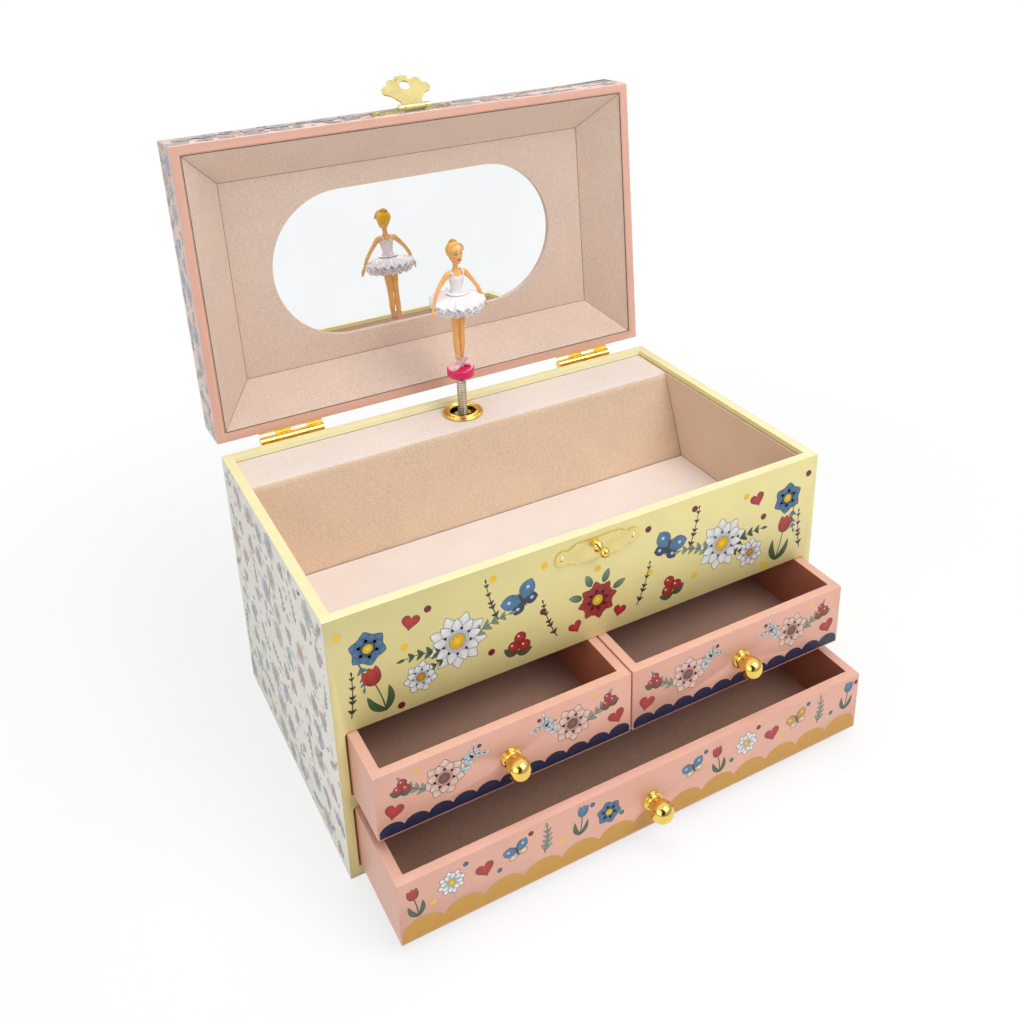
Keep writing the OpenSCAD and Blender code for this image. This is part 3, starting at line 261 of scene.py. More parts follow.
M = {
    "yellow": paper("paper_yellow", YELLOW),
    "rim": paper("paper_pale_yellow", srgb(247, 238, 186)),
    "cream": paper("paper_cream", CREAM),
    "salmon": paper("paper_salmon", SALMON),
    "salmon_rim": paper("paper_salmon_rim", srgb(234, 182, 162)),
    "pink": paper("paper_pink", PINK),
    # a darker copy of the salmon paper for the drawers' inner walls: painted shade inside the drawers
    "brown": paper("paper_drawer_inside_painted_shade", srgb(186, 112, 84), 0.6),
    "ink": printed("paper_ink"),
    "flock": flock("flock_blush", BLUSH),
    # a paler copy of the blush flock for up-facing linings: painted light and sheen where the tops face the
    # lamps
    "flock_pale": flock("flock_pale", srgb(234, 219, 209), 0.92),
    "flock_taupe": flock("flock_taupe", srgb(194, 152, 132)),
    "board": board("greyboard", srgb(168, 150, 128)),
    "brass": metal("polished_brass", srgb(242, 208, 110), 0.06),
    "brass_hinge": metal("rolled_brass", srgb(238, 206, 116), 0.2),
    "brass_sheet": metal("satin_brass", srgb(232, 214, 146), 0.26),
    "gear": metal("cut_brass", srgb(196, 164, 92), 0.3, (1, 1, 4)),
    "steel": metal("brushed_steel", srgb(170, 172, 174), 0.3, (1, 8, 1)),
    "zinc": metal("zinc_plate", srgb(188, 190, 192), 0.36, (1, 1, 6)),
    "spring": metal("spring_wire", srgb(212, 202, 176), 0.3),
    # board darker than the greyboard for the lining's seams: bare board there, plus painted shade in the
    # seams
    "gap": board("gap_in_the_lining", srgb(120, 88, 70)),
    "flock_lid": flock("flock_lid", srgb(230, 205, 187)),
    "mirror": glass_mirror("silvered_glass"),
    "hot_pink": plastic("pink_plastic", srgb(232, 40, 104), 0.18),
    "ivory": plastic("ivory_plastic", srgb(232, 224, 204), 0.45),
    "skin": plastic("skin_plastic", srgb(238, 184, 132), 0.42),
    "doll_skin": doll_skin("doll_skin", srgb(252, 192, 118)),
    "doll_shoe": plastic("doll_shoe_pink", srgb(246, 206, 212), 0.32),
    "doll_dress": plastic("doll_dress_white", srgb(252, 244, 249), 0.38, 0.2),
    "doll_hair": plastic("doll_hair_blond", srgb(244, 192, 40), 0.35),
    "doll_bun": plastic("doll_bun_gold", srgb(214, 150, 44), 0.35),
    "doll_band": plastic("doll_band_pink", srgb(244, 190, 190), 0.3),
}


def coat(me, *keys):
    me.materials.clear()
    for k in keys:
        me.materials.append(M[k])


def wear(names, key):
    for n in names.split():
        coat(NODES[n].data, key)


wear("bottom_panel drawer_shelf tray_deck front_frame left_panel right_panel back_panel", "board")
wear("lid_front_rail lid_back_rail lid_side_rails lid_top", "board")
# the tray's floor faces up and wears the paler flock copy: painted light
wear("tray_lining_floor", "flock_pale")
wear("tray_lining_walls mechanism_cover", "flock")
wear("lid_lining_long lid_lining_ends lid_lining_panel", "flock_lid")
wear("clasp_plate hasp_plate hasp clasp_nails hasp_nails", "brass_sheet")
wear("spindle_ferrule clasp_post hinge_body_leaf_left hinge_body_leaf_right "
     "hinge_lid_leaf_left hinge_lid_leaf_right hinge_pins hinge_body_nails hinge_lid_nails "
     "left_drawer_knob right_drawer_knob lower_drawer_knob", "brass")
wear("lid_mirror", "mirror")
for d in ("left", "right", "lower"):
    wear(f"{d}_drawer_front {d}_drawer_sides {d}_drawer_back", "salmon")
    wear(f"{d}_drawer_floor", "flock_taupe")
wear("spindle", "steel")
wear("stem_spring", "spring")
wear("dancer_disc", "hot_pink")
wear("dancer", "skin")
wear("bedplate winding_gearbox", "zinc")
wear("mainspring_barrel pinned_cylinder", "gear")
wear("comb winding_key movement_screws", "steel")
wear("governor governor_pinion", "ivory")


# ---- mesh helpers

def new_object(name, me):
    o = bpy.data.objects.new(name, me)
    bpy.context.scene.collection.objects.link(o)
    return o


MERGE, FLAT = 2e-6, 0.004       # metres between corners that are one, radians between faces that are one


def merge_faces(me):
    bm = bmesh.new()
    bm.from_mesh(me)
    bmesh.ops.remove_doubles(bm, verts=bm.verts, dist=MERGE)
    bmesh.ops.dissolve_limit(bm, angle_limit=FLAT, verts=bm.verts, edges=bm.edges)
    bm.to_mesh(me)
    bm.free()


def tidy_copy(name, nodes):
    """One object with the merged faces of some CAD nodes, joined by union."""
    parts = []
    for n in nodes:
        me = NODES[n].data.copy()
        merge_faces(me)
        parts.append(new_object(name + "_" + n, me))
    first = parts[0]
    for other in parts[1:]:
        mod = first.modifiers.new("join", "BOOLEAN")
        mod.operation, mod.solver, mod.object = "UNION", "EXACT", other
        apply_all(first)
        bpy.data.objects.remove(other)
    first.name = name
    return first


def apply_all(o):
    bpy.context.view_layer.objects.active = o
    for m in list(o.modifiers):
        bpy.ops.object.modifier_apply(modifier=m.name)


def soften(o, width):
    """Small rounded edges on a hard-edged piece."""
    merge_faces(o.data)
    o.data.shade_smooth()
    mod = o.modifiers.new("edge", "BEVEL")
    mod.width, mod.segments = width, 2
    mod.limit_method, mod.angle_limit = "ANGLE", radians(30)
    mod.use_clamp_overlap = True
    mod.harden_normals = True
    apply_all(o)
    return o


def dress(o, keys, choose):
    """Gives a piece several materials; choose(centre in mm, normal) names each face's."""
    coat(o.data, *keys)
    for p in o.data.polygons:
        p.material_index = keys.index(choose(p.center / MM, p.normal))


def stand_for(o, nodes):
    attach(o, BODY_OF[nodes[0]])
    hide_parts(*nodes)
    return o


# ---- box body, lid and drawers: papered boards

HW, HD, H = 112.5, 67.0, 121.0


def body_paper(c, n):
    if c.z > H - 0.4 and n.z > 0.3:
        return "rim"
    if n.y < -0.6 and c.y < -HD + 1:
        return "yellow"
    if abs(n.x) > 0.6 and abs(c.x) > HW - 1 or n.y > 0.6 and c.y > HD - 1:
        return "cream"
    return "rim" if c.z > 70 else "yellow"


shell_nodes = ["front_frame", "left_panel", "right_panel", "back_panel"]
shell = soften(tidy_copy("body_shell", shell_nodes), 0.5 * MM)
dress(shell, ["yellow", "rim", "cream"], body_paper)
stand_for(shell, shell_nodes)

HINGE_Y, HINGE_Z, LID_OPEN = 71, 120.5, 95      # the lid's axis in mm and its angle in degrees
LID_H = 22.8
LID = Matrix.Translation((0, HINGE_Y * MM, HINGE_Z * MM)) @ \
    Matrix.Rotation(radians(-LID_OPEN), 4, "X") @ Matrix.Translation((0, -HINGE_Y * MM, -HINGE_Z * MM))
LID_BACK = LID.inverted()


def lid_paper(c, n):
    q = LID_BACK @ (c * MM) / MM
    m = LID_BACK.to_3x3() @ n
    if m.z < -0.6 and q.z < H + 0.5:
        return "salmon_rim"
    if q.z > H + 22.2 or abs(q.x) > HW - 0.6 or abs(q.y) > HD - 0.6:
        return "pink"
    return "salmon_rim"


lid_nodes = ["lid_front_rail", "lid_back_rail", "lid_side_rails", "lid_top"]
lid = soften(tidy_copy("lid_shell", lid_nodes), 0.5 * MM)
dress(lid, ["pink", "salmon_rim"], lid_paper)
for v in lid.data.vertices:
    shut = LID_BACK @ v.co
    if shut.z < (H + 0.04) * MM:
        v.co = LID @ (shut + Vector((0, 0, 0.06 * MM)))
stand_for(lid, lid_nodes)

for d in ("left", "right", "lower"):
    box_nodes = [f"{d}_drawer_{p}" for p in ("front", "sides", "back")]
    tray = soften(tidy_copy(f"{d}_drawer_box", box_nodes), 0.45 * MM)
    lo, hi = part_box(f"{d}_drawer_sides")
    x0, x1, y1 = lo.x / MM, hi.x / MM, hi.y / MM
    front_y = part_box(f"{d}_drawer_front")[0].y / MM

    def drawer_paper(c, n):
        if n.z > 0.5:
            return "salmon_rim"
        inside = x0 + 1 < c.x < x1 - 1 and front_y + 1 < c.y < y1 - 0.5
        # inner walls take the darker salmon copy: painted shade
        return "brown" if inside else "salmon"
    dress(tray, ["salmon", "salmon_rim", "brown"], drawer_paper)
    stand_for(tray, box_nodes)


cover = tidy_copy("mechanism_cover_lining", ["mechanism_cover"])
cover.data.shade_smooth()
cover.data.set_sharp_from_angle(angle=radians(30))
# faces of the cover that look up wear the paler flock copy, painted light on its top shelf; the rest wear the
# blush flock
dress(cover, ["flock", "flock_pale"], lambda c, n: "flock_pale" if n.z > 0.8 else "flock")
stand_for(cover, ["mechanism_cover"])


# ---- thin dark strips where the lining's strips meet: bare board in the seams, darkened further as painted shade

def joints(name, body, lines, place=None):
    """Fine round strips, each from one point to another with a radius, in mm."""
    place = place or Matrix.Identity(4)
    bm = bmesh.new()
    for a, b, r in lines:
        a, b = Vector(a) * MM, Vector(b) * MM
        turn = (b - a).to_track_quat("Z", "Y").to_matrix().to_4x4()
        bmesh.ops.create_cone(bm, cap_ends=True, segments=8, radius1=r * MM, radius2=r * MM,
                              depth=(b - a).length,
                              matrix=place @ Matrix.Translation((a + b) / 2) @ turn)
    me = bpy.data.meshes.new(name)
    bm.to_mesh(me)
    bm.free()
    me.materials.append(M["gap"])
    o = new_object(name, me)
    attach(o, body)


def frame_lines(x, y0, y1, z, r):
    c = [(-x, y0, z), (x, y0, z), (x, y1, z), (-x, y1, z)]
    return [(c[i], c[(i + 1) % 4], r) for i in range(4)]


joints("lid_lining_joints", "lid",
       frame_lines(107.95, -62.45, 62.45, 121.35, 0.24) + frame_lines(91.4, -45.9, 45.9, 137.65, 0.10) +
       [((a * 107.9, b * 62.4, 121.4), (a * 91.4, b * 45.9, 137.65), 0.09)
        for a in (-1, 1) for b in (-1, 1)], LID)
joints("tray_lining_joints", "box",
       frame_lines(107.3, -61.8, 22.4, 78.0, 0.14) + frame_lines(108.2, -62.7, 62.7, 118.4, 0.16) +
       [((a * 107.3, -61.8, 78.0), (a * 107.3, -61.8, 118.3), 0.12) for a in (-1, 1)] +
       [((a * 107.3, 22.4, 78.0), (a * 107.3, 37.4, 116.4), 0.14) for a in (-1, 1)])


# ---- metal fittings

def crisp(o, key):
    """Rounds stay smooth and flat faces flat, with a sharp line between them."""
    o.data.shade_smooth()
    o.data.set_sharp_from_angle(angle=radians(32))
    coat(o.data, key)
    return o


def swell(r, h, radius, start, end, steps):
    """Points of a round part of a turned profile, from one angle to another."""
    angles = [radians(start + (end - start) * i / steps) for i in range(steps + 1)]
    return [(r + radius * cos(a), h + radius * sin(a)) for a in angles]


def turned(name, profile, place, key, forward=False, closed=False):
    """A profile of (radius, height) in mm spun about its axis, which points up or to the front."""
    me = bpy.data.meshes.new(name)
    n = len(profile)
    me.from_pydata([(r * MM, 0, h * MM) for r, h in profile],
                   [(i, (i + 1) % n) for i in range(n if closed else n - 1)], [])
    o = new_object(name, me)
    bpy.context.view_layer.objects.active = o
    o.select_set(True)
    bpy.ops.object.mode_set(mode="EDIT")
    bpy.ops.mesh.select_all(action="SELECT")
    bpy.ops.mesh.spin(steps=80, angle=2 * pi, center=(0, 0, 0), axis=(0, 0, 1))
    bpy.ops.mesh.select_all(action="SELECT")
    bpy.ops.mesh.remove_doubles(threshold=MERGE)
    bpy.ops.mesh.normals_make_consistent(inside=False)
    bpy.ops.object.mode_set(mode="OBJECT")
    o.select_set(False)
    tilt = Matrix.Rotation(radians(90 if forward else 0), 4, "X")
    me.transform(Matrix.Translation(Vector(place) * MM) @ tilt)
    return crisp(o, key)


for n in ("hinge_body_leaf_left", "hinge_body_leaf_right", "hinge_lid_leaf_left", "hinge_lid_leaf_right"):
    stand_for(crisp(tidy_copy(n + "_metal", [n]), "brass_hinge"), [n])
for n in ("clasp_plate", "hasp_plate", "hasp"):
    stand_for(crisp(tidy_copy(n + "_metal", [n]), "brass_sheet"), [n])

KNOB = [(0, -3.6), (1.5, -3.6), (1.5, 0), (3.9, 0)] + swell(3.98, 0.3, 0.3, -90, 90, 6) + [(3.8, 0.66)] + \
    swell(3.72, 1.0, 0.36, -80, 90, 6) + [(3.35, 1.5), (3.1, 1.9), (2.98, 2.4), (2.98, 2.8)] + \
    swell(0, 6.8, 4.8, -51, 90, 30)
for d in ("left", "right", "lower"):
    lo, hi = (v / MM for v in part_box(f"{d}_drawer_knob"))
    knob = turned(f"{d}_drawer_knob_ball", KNOB, ((lo.x + hi.x) / 2, hi.y - 3.6, (lo.z + hi.z) / 2), "brass",
                  True)
    stand_for(knob, [f"{d}_drawer_knob"])

ferrule = turned("spindle_ferrule_ring", [(6.0, -3.2), (6.0, 0.4)] + swell(7.05, 0.66, 1.05, 190, 0, 14) +
                 [(8.3, 0.5)] + swell(9.05, 0.6, 0.64, 170, -60, 12) + [(9.0, 0), (6.8, 0), (6.8, -3.2)],
                 (0, SPINDLE_Y, 118.4), "brass", closed=True)
stand_for(ferrule, ["spindle_ferrule"])

POST = [(0, 0.05), (1.2, 0.05), (1.2, 0.8), (2.2, 0.8), (2.2, 1.0), (1.75, 1.5), (1.2, 2.0), (1.2, 3.0)] + \
    swell(0, 5.0, 2.1, -52, 90, 20)
post = turned("clasp_post_ball", POST, (0, -67.0, 113.5), "brass", True)
stand_for(post, ["clasp_post"])

DISC = [(0, -2.8), (1.1, -2.8), (1.1, 0), (6.1, 0)] + swell(6.1, 0.4, 0.4, -90, 0, 5) + \
    swell(5.5, 3.0, 1.0, 0, 90, 10) + [(5.0, 3.97), (4.6, 3.9), (0, 3.9)]
disc = turned("dancer_disc_round", DISC, (0, SPINDLE_Y, 138.6), "hot_pink")
stand_for(disc, ["dancer_disc"])


# ---- printed decoration: flat shapes a few hundredths of a millimetre over the paper

def lerp(a, b, t):
    return tuple(x + (y - x) * t for x, y in zip(a, b))


LIFT, STEP = 0.02, 0.006        # mm from the paper to the first shapes, and from layer to layer


class Print:
    """Shapes on one flat face, in millimetres across (u) and up (v) from its origin."""

    def __init__(self, name, body, origin, u, v, place=None):
        self.name, self.body = name, body
        self.origin, self.u, self.v = Vector(origin), Vector(u), Vector(v)
        self.n = self.u.cross(self.v)
        self.place = place or Matrix.Identity(4)
        self.verts, self.faces, self.ink = [], [], []
        self.clip = None

    def add(self, points, faces, colours, layer):
        start = len(self.verts)
        lift = self.n * (LIFT + STEP * layer)
        for x, y in points:
            if self.clip:
                x, y = min(max(x, self.clip[0]), self.clip[2]), min(max(y, self.clip[1]), self.clip[3])
            self.verts.append(self.place @ ((self.origin + self.u * x + self.v * y + lift) * MM))
        self.faces += [tuple(start + i for i in f) for f in faces]
        self.ink += colours

    def blob(self, centre, ring, inner, outer, layer):
        k = len(ring)
        faces = [(0, 1 + i, 1 + (i + 1) % k) for i in range(k)]
        self.add([centre] + ring, faces, [inner] + [outer] * k, layer)

    def disc(self, x, y, r, inner, outer=None, layer=0, sides=16):
        ring = [(x + r * cos(FULL * i / sides), y + r * sin(FULL * i / sides))
                for i in range(sides)]
        self.blob((x, y), ring, inner, outer or inner, layer)

    def petal(self, x, y, angle, length, width, base, tip, layer, line=0.16, dark=None, bend=0.0, blunt=0.8):
        """A petal or leaf from (x, y): a lighter rib, shaded sides and a dark outline."""
        d, s = (cos(angle), sin(angle)), (-sin(angle), cos(angle))
        steps = 8
        for grow, deep in ((line, 0), (0.0, 1)):
            if grow and dark is None:
                continue
            points, colours = [], []
            for i in range(steps + 1):
                t = i / steps
                w = width / 2 * sin(pi * t ** blunt) ** 0.75 + grow
                along = length * t + (grow if t > 0.5 else -grow) * abs(2 * t - 1)
                off = bend * length * sin(pi * t) * 0.5
                cx, cy = x + d[0] * along + s[0] * off, y + d[1] * along + s[1] * off
                c = lerp(base, tip, t)
                for side, k in ((-1, 0.84), (0, 1.08), (1, 0.94)):
                    points.append((cx + s[0] * w * side, cy + s[1] * w * side))
                    colours.append(shade(c, k) if deep else dark)
            faces = []
            for i in range(steps):
                a = 3 * i
                faces += [(a, a + 1, a + 4, a + 3), (a + 1, a + 2, a + 5, a + 4)]
            self.add(points, faces, colours, layer + 0.5 * deep)

    def stroke(self, points, width, colour, layer, taper=0.4):
        n = len(points)
        out, faces = [], []
        for i, (x, y) in enumerate(points):
            a, b = points[max(i - 1, 0)], points[min(i + 1, n - 1)]
            dx, dy = b[0] - a[0], b[1] - a[1]
            k = (dx * dx + dy * dy) ** 0.5 or 1
            w = width / 2 * (1 - taper * i / (n - 1))
            out += [(x - dy / k * w, y + dx / k * w), (x + dy / k * w, y - dx / k * w)]
        for i in range(n - 1):
            faces.append((2 * i, 2 * i + 1, 2 * i + 3, 2 * i + 2))
        self.add(out, faces, [colour] * len(out), layer)

    def finish(self):
        me = bpy.data.meshes.new(self.name)
        me.from_pydata(self.verts, [], self.faces)
        ink = me.attributes.new("Ink", "FLOAT_COLOR", "POINT")
        ink.data.foreach_set("color", [v for c in self.ink for v in (*c, 1.0)])
        me.materials.append(M["ink"])
        o = new_object(self.name, me)
        bm = bmesh.new()
        bm.from_mesh(me)
        out = self.place.to_3x3() @ self.n
        flat = [f for f in bm.faces if f.calc_area() < 1e-12]
        bmesh.ops.delete(bm, geom=flat, context="FACES")
        for f in bm.faces:
            if f.normal.dot(out) < 0:
                f.normal_flip()
        bm.to_mesh(me)
        bm.free()
        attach(o, self.body)
        return o


LINE = srgb(62, 52, 50)
WHITE, GREY = srgb(247, 246, 242), srgb(190, 194, 200)
BLUE, DEEP = srgb(74, 122, 160), srgb(38, 66, 98)
RED, WINE = srgb(176, 44, 40), srgb(110, 24, 26)
LEAF, SAGE = srgb(62, 92, 60), srgb(128, 148, 128)
GOLD, OCHRE = srgb(246, 196, 30), srgb(206, 152, 52)
NAVY = srgb(22, 27, 66)
MAUVE = srgb(196, 140, 130)
ICE = srgb(196, 214, 226)


def arc(x, y, length, angle, curl, n=9):
    """Points of a stem that leaves (x, y) at an angle and curls by curl radians."""
    points = [(x, y)]
    for i in range(n):
        a = angle + curl * (i + 0.5) / n
        x, y = x + length / n * cos(a), y + length / n * sin(a)
        points.append((x, y))
    return points


def blossom(p, x, y, r, n, turn, base, tip, heart, line=LINE, wide=1.0):
    """A round flower in two rows of petals with a dotted centre."""
    core = 0.27
    for row in range(2):
        size = r * (1 - 0.22 * row)
        for k in range(n):
            a = turn + FULL * (k + 0.5 * row) / n
            p.petal(x + 0.12 * r * cos(a), y + 0.12 * r * sin(a), a, size * 0.88, wide * 4.6 * size / n,
                    shade(base, 0.9 + 0.1 * row), tip, 2 * row + 1, dark=line)
    p.disc(x, y, 0.42 * r, shade(base, 0.86), shade(base, 1.02), layer=4.6)
    p.disc(x, y, core * r + 0.14, line, layer=5)
    p.disc(x, y, core * r, shade(heart, 1.15), shade(heart, 0.75), layer=5.6)
    for k in range(7):
        a = turn + FULL * k / 7
        p.disc(x + 0.6 * core * r * cos(a), y + 0.6 * core * r * sin(a), 0.07 * core * r + 0.1,
               shade(heart, 0.5), layer=6, sides=6)


def sprig(p, x, y, length, angle, curl, leaf, pairs, line=LINE, size=0.26):
    """A curved twig with paired leaves."""
    points = arc(x, y, length, angle, curl)
    p.stroke(points, 0.55, line, 0.4)
    for k in range(pairs):
        t = (k + 1) / (pairs + 0.6)
        i = min(int(t * 9), 8)
        px, py = points[i]
        a = angle + curl * t
        for side in (-1, 1):
            size_k = length * size * (1.1 - 0.5 * t)
            p.petal(px, py, a + side * 0.75, size_k, size_k * 0.42, shade(leaf, 0.85), shade(leaf, 1.15), 1.5,
                    line=0.1, dark=line, bend=-0.2 * side)
    p.petal(*points[-1], angle + curl, length * size * 0.7, length * size * 0.28, leaf, shade(leaf, 1.2), 1.5,
            line=0.1, dark=line)


def heart(p, x, y, r, colour, turn):
    ring = []
    for i in range(28):
        t = FULL * i / 28
        u = 16 * sin(t) ** 3 / 16
        v = (13 * cos(t) - 5 * cos(2 * t) - 2 * cos(3 * t) - cos(4 * t)) / 16
        ring.append((u * cos(turn) - v * sin(turn), u * sin(turn) + v * cos(turn)))
    for k, c, layer in ((r + 0.16, LINE, 1), (r, None, 1.5)):
        pts = [(x + k * a, y + k * b) for a, b in ring]
        p.blob((x, y + 0.1 * k), pts, c or shade(colour, 1.25), c or shade(colour, 0.8), layer)


def berries(p, x, y, r, colour, turn, line=LINE, leaf=LEAF):
    """Three round berries on a forked stem with two leaves."""
    for k, (a, d) in enumerate(((2.2, 1.0), (0.9, 1.15), (1.6, 1.9))):
        bx, by = x + r * 1.5 * d * cos(turn + a), y + r * 1.5 * d * sin(turn + a)
        p.stroke([(x, y), ((x + bx) / 2 + 0.3, (y + by) / 2), (bx, by)], 0.4, line, 0.5, 0)
        p.disc(bx, by, r + 0.14, line, layer=2 + k)
        p.disc(bx, by, r, shade(colour, 1.3), shade(colour, 0.72), layer=2.5 + k)
        p.disc(bx - 0.3 * r, by + 0.35 * r, 0.2 * r, lerp(colour, (1, 1, 1), 0.7), layer=2.8 + k, sides=8)
    for side in (-1, 1):
        p.petal(x, y, turn + 1.57 + side * 1.25, r * 2.6, r * 1.3, shade(leaf, 0.8), shade(leaf, 1.25), 1,
                dark=line, bend=0.2 * side)


def tulip(p, x, y, h, colour, turn, line=LINE, leaf=LEAF):
    """A cup-shaped flower on a stem with two long leaves."""
    up = QUARTER + turn
    points = arc(x, y, h * 0.62, up - 0.12, 0.24)
    p.stroke(points, 0.6, leaf, 0.4, 0.2)
    for side in (-1, 1):
        p.petal(x, y, up + side * 0.42, h * 0.5, h * 0.13, shade(leaf, 0.8), shade(leaf, 1.3), 1, dark=line,
                bend=0.25 * side, line=0.12)
    tx, ty = points[-1]
    for side, k in ((-1, 0), (1, 0), (0, 1)):
        p.petal(tx, ty, up + side * 0.34, h * 0.38, h * 0.2, shade(colour, 0.75), shade(colour, 1.2), 2 + k,
                dark=line, line=0.12)


def butterfly(p, x, y, s, upper, lower, turn, line=LINE):
    for side in (-1, 1):
        for a, l, w, c, k in ((-0.55, 0.8, 0.62, lower, 1), (0.6, 1.1, 0.8, upper, 2)):
            ang = turn + (a if side > 0 else pi - a)
            p.petal(x, y, ang, s * l, s * w, shade(c, 0.8), shade(c, 1.15), k, dark=line, blunt=1.15,
                    line=0.14)
            p.disc(x + s * l * 0.62 * cos(ang), y + s * l * 0.62 * sin(ang), s * 0.09,
                   lerp(c, (1, 1, 1), 0.6), layer=k + 0.8, sides=8)
        tip = turn + QUARTER - side * 0.5
        p.stroke(arc(x, y + 0.3 * s * cos(turn), 0.6 * s, tip, -side * 0.7, 5), 0.22, line, 3.4, 0)
    a = turn + QUARTER
    p.petal(x - 0.45 * s * cos(a), y - 0.45 * s * sin(a), a, 0.95 * s, 0.16 * s, line, line, 3.6)


def scallops(p, x0, x1, y0, rise, bump, count, colour):
    """A scalloped border along the lower edge."""
    w = (x1 - x0) / count
    per = 9
    tops = []
    for k in range(count):
        for i in range(per + (k == count - 1)):
            t = i / per
            tops.append((x0 + w * (k + t), y0 + rise - bump + bump * sin(pi * t) ** 0.6))
    points, faces = [], []
    for q in tops:
        points += [(q[0], y0), q]
    for i in range(len(tops) - 1):
        faces.append((2 * i, 2 * i + 2, 2 * i + 3, 2 * i + 1))
    colours = [c for _ in tops for c in (shade(colour, 0.96), colour)]
    p.add(points, faces, colours, 0)


def dots(p, places):
    for x, y, c in places:
        p.disc(x, y, 1.5, shade(c, 1.05), c, 0.2, sides=20)


# body front: white and blue flowers, berries and dark twigs between dots
p = Print("print_front", "box", (0, -HD, 0), (1, 0, 0), (0, 0, 1))
for s in (-1, 1):
    x = s * 62
    sprig(p, x - s * 6, 92, 17, 2.6 if s > 0 else 0.54, 0.5 * s, SAGE, 4)
    sprig(p, x + s * 5, 90, 17, 0.5 if s > 0 else 2.64, -0.6 * s, LEAF, 4)
    sprig(p, x, 90, 13, -0.6 if s > 0 else 3.74, 0.5 * s, LEAF, 3)
    blossom(p, x, 93, 12.5, 9, 0.2 * s, GREY, WHITE, GOLD)
    blossom(p, x + s * 15.5, 83, 7, 7, 0.5, GREY, WHITE, OCHRE)
    blossom(p, s * 97, 104, 7.5, 6, 0.4 * s, DEEP, BLUE, GOLD, wide=1.1)
    sprig(p, s * 101, 99, 12, -1.5 - 0.3 * s, 0.5 * s, BLUE, 3)
    tulip(p, s * 92, 74, 22, RED, -0.25 * s)
    berries(p, s * 37, 77, 2.5, RED, 0.25 * s)
    butterfly(p, s * 34, 101, 8.5, BLUE, DEEP, -0.5 * s)
    sprig(p, s * 44.5, 96, 19, 1.2 if s > 0 else 1.94, 0.25 * s, LINE, 5, size=0.12)
    sprig(p, s * 105.5, 76, 19, 1.75 if s > 0 else 1.39, -0.2 * s, LINE, 5, size=0.12)
    sprig(p, s * 19, 78, 19, 1.1 if s > 0 else 2.04, 0.3 * s, LINE, 5, size=0.12)
    heart(p, s * 80, 109, 3.6, RED, 0.3 * s)
blossom(p, 0, 88, 9, 8, 0.1, WINE, RED, GOLD)
for a in (0.4, 1.2, 1.95, 2.75):
    p.petal(9 * cos(a) * 0.9, 88 + 9 * sin(a) * 0.9, a, 6, 3, LEAF, SAGE, 0.2, dark=LINE)
heart(p, -10.5, 79, 3, RED, 0.35)
heart(p, 10.5, 79, 3, RED, -0.35)
dots(p, [
    (-108, 113, GOLD), (-83, 99, GOLD), (-48, 82, WINE), (-46, 115, GOLD), (-25, 92, WINE), (-73, 112, WINE),
    (-24, 113, GOLD), (25, 92, GOLD), (24, 113, WINE), (47, 115, WINE), (48, 82, GOLD), (74, 112, GOLD),
    (84, 99, WINE), (108, 113, WINE), (-86, 73.5, WINE), (86, 73.5, GOLD), (0, 103, GOLD)])
p.finish()


def drawer_print(d, wide):
    lo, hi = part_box(f"{d}_drawer_front")
    x0, x1, z0, z1 = lo.x / MM + 0.6, hi.x / MM - 0.6, lo.z / MM + 0.5, hi.z / MM - 0.7
    p = Print(f"print_{d}_drawer", f"{d}_drawer", (0, lo.y / MM, 0), (1, 0, 0), (0, 0, 1))
    p.clip = (x0, z0, x1, z1)
    mid = (x0 + x1) / 2
    if not wide:
        scallops(p, x0, x1, z0, 5.6, 2.6, 11, NAVY)
        for s in (-1, 1):
            blossom(p, mid + s * 27, z0 + 16, 8.4, 7, 0.3 * s, MAUVE, srgb(238, 206, 190), srgb(120, 84, 76),
                    wide=1.05)
            sprig(p, mid + s * 33, z0 + 14, 14, 0.35 if s > 0 else 2.8, 0.7 * s, SAGE, 4)
            sprig(p, mid + s * 21, z0 + 15, 12, 2.6 if s > 0 else 0.54, -0.9 * s, ICE, 4, size=0.3)
            sprig(p, mid + s * 20, z0 + 21, 10, 3.0 if s > 0 else 0.14, 0.5 * s, ICE, 4, size=0.3)
            heart(p, mid + s * 47, z0 + 10.5, 3.7, RED, 0.3 * s)
            berries(p, mid + s * 44, z0 + 17, 1.7, RED, 0.2 * s)
            p.disc(mid + s * 37.5, z0 + 24.5, 0.9, GOLD, layer=0.2)
            p.disc(mid + s * 12.5, z0 + 24, 0.9, WINE, layer=0.2)
    else:
        scallops(p, x0, x1, z0, 9.2, 4.2, 13, OCHRE)
        kinds = "tbhfsTBhbf"
        n = 16
        for k in range(n):
            x = x0 + (x1 - x0) * (k + 0.5) / n
            if abs(x - mid) < 7:
                continue
            z = z0 + 17.6 + (1.2 if k % 2 else -0.8)
            kind = kinds[k % len(kinds)]
            if kind == "t":
                tulip(p, x, z - 6.5, 14, RED, 0.15)
            elif kind == "T":
                tulip(p, x, z - 6.5, 14, BLUE, -0.15)
            elif kind == "b":
                blossom(p, x, z, 5.6, 8, 0.2 * k, GREY, WHITE, GOLD)
            elif kind == "B":
                blossom(p, x, z, 5.6, 6, 0.3 * k, DEEP, BLUE, GOLD, wide=1.1)
            elif kind == "h":
                heart(p, x, z + 0.8, 3.7, RED, 0.2 * (-1) ** k)
            elif kind == "f":
                butterfly(p, x, z, 5.6, OCHRE if k % 3 else BLUE, srgb(214, 186, 150), 0.3)
            else:
                sprig(p, x - 2, z - 5, 12, 1.2, 0.5, SAGE, 4, size=0.3)
            c = (GOLD, srgb(60, 92, 132), srgb(52, 116, 104), WINE)[k % 4]
            p.disc(x + 5.9, z + (5.6 if k % 2 else -3.2), 1.15, shade(c, 1.05), c, 0.2)
    return p.finish()


drawer_print("left", False)
drawer_print("right", False)
drawer_print("lower", True)


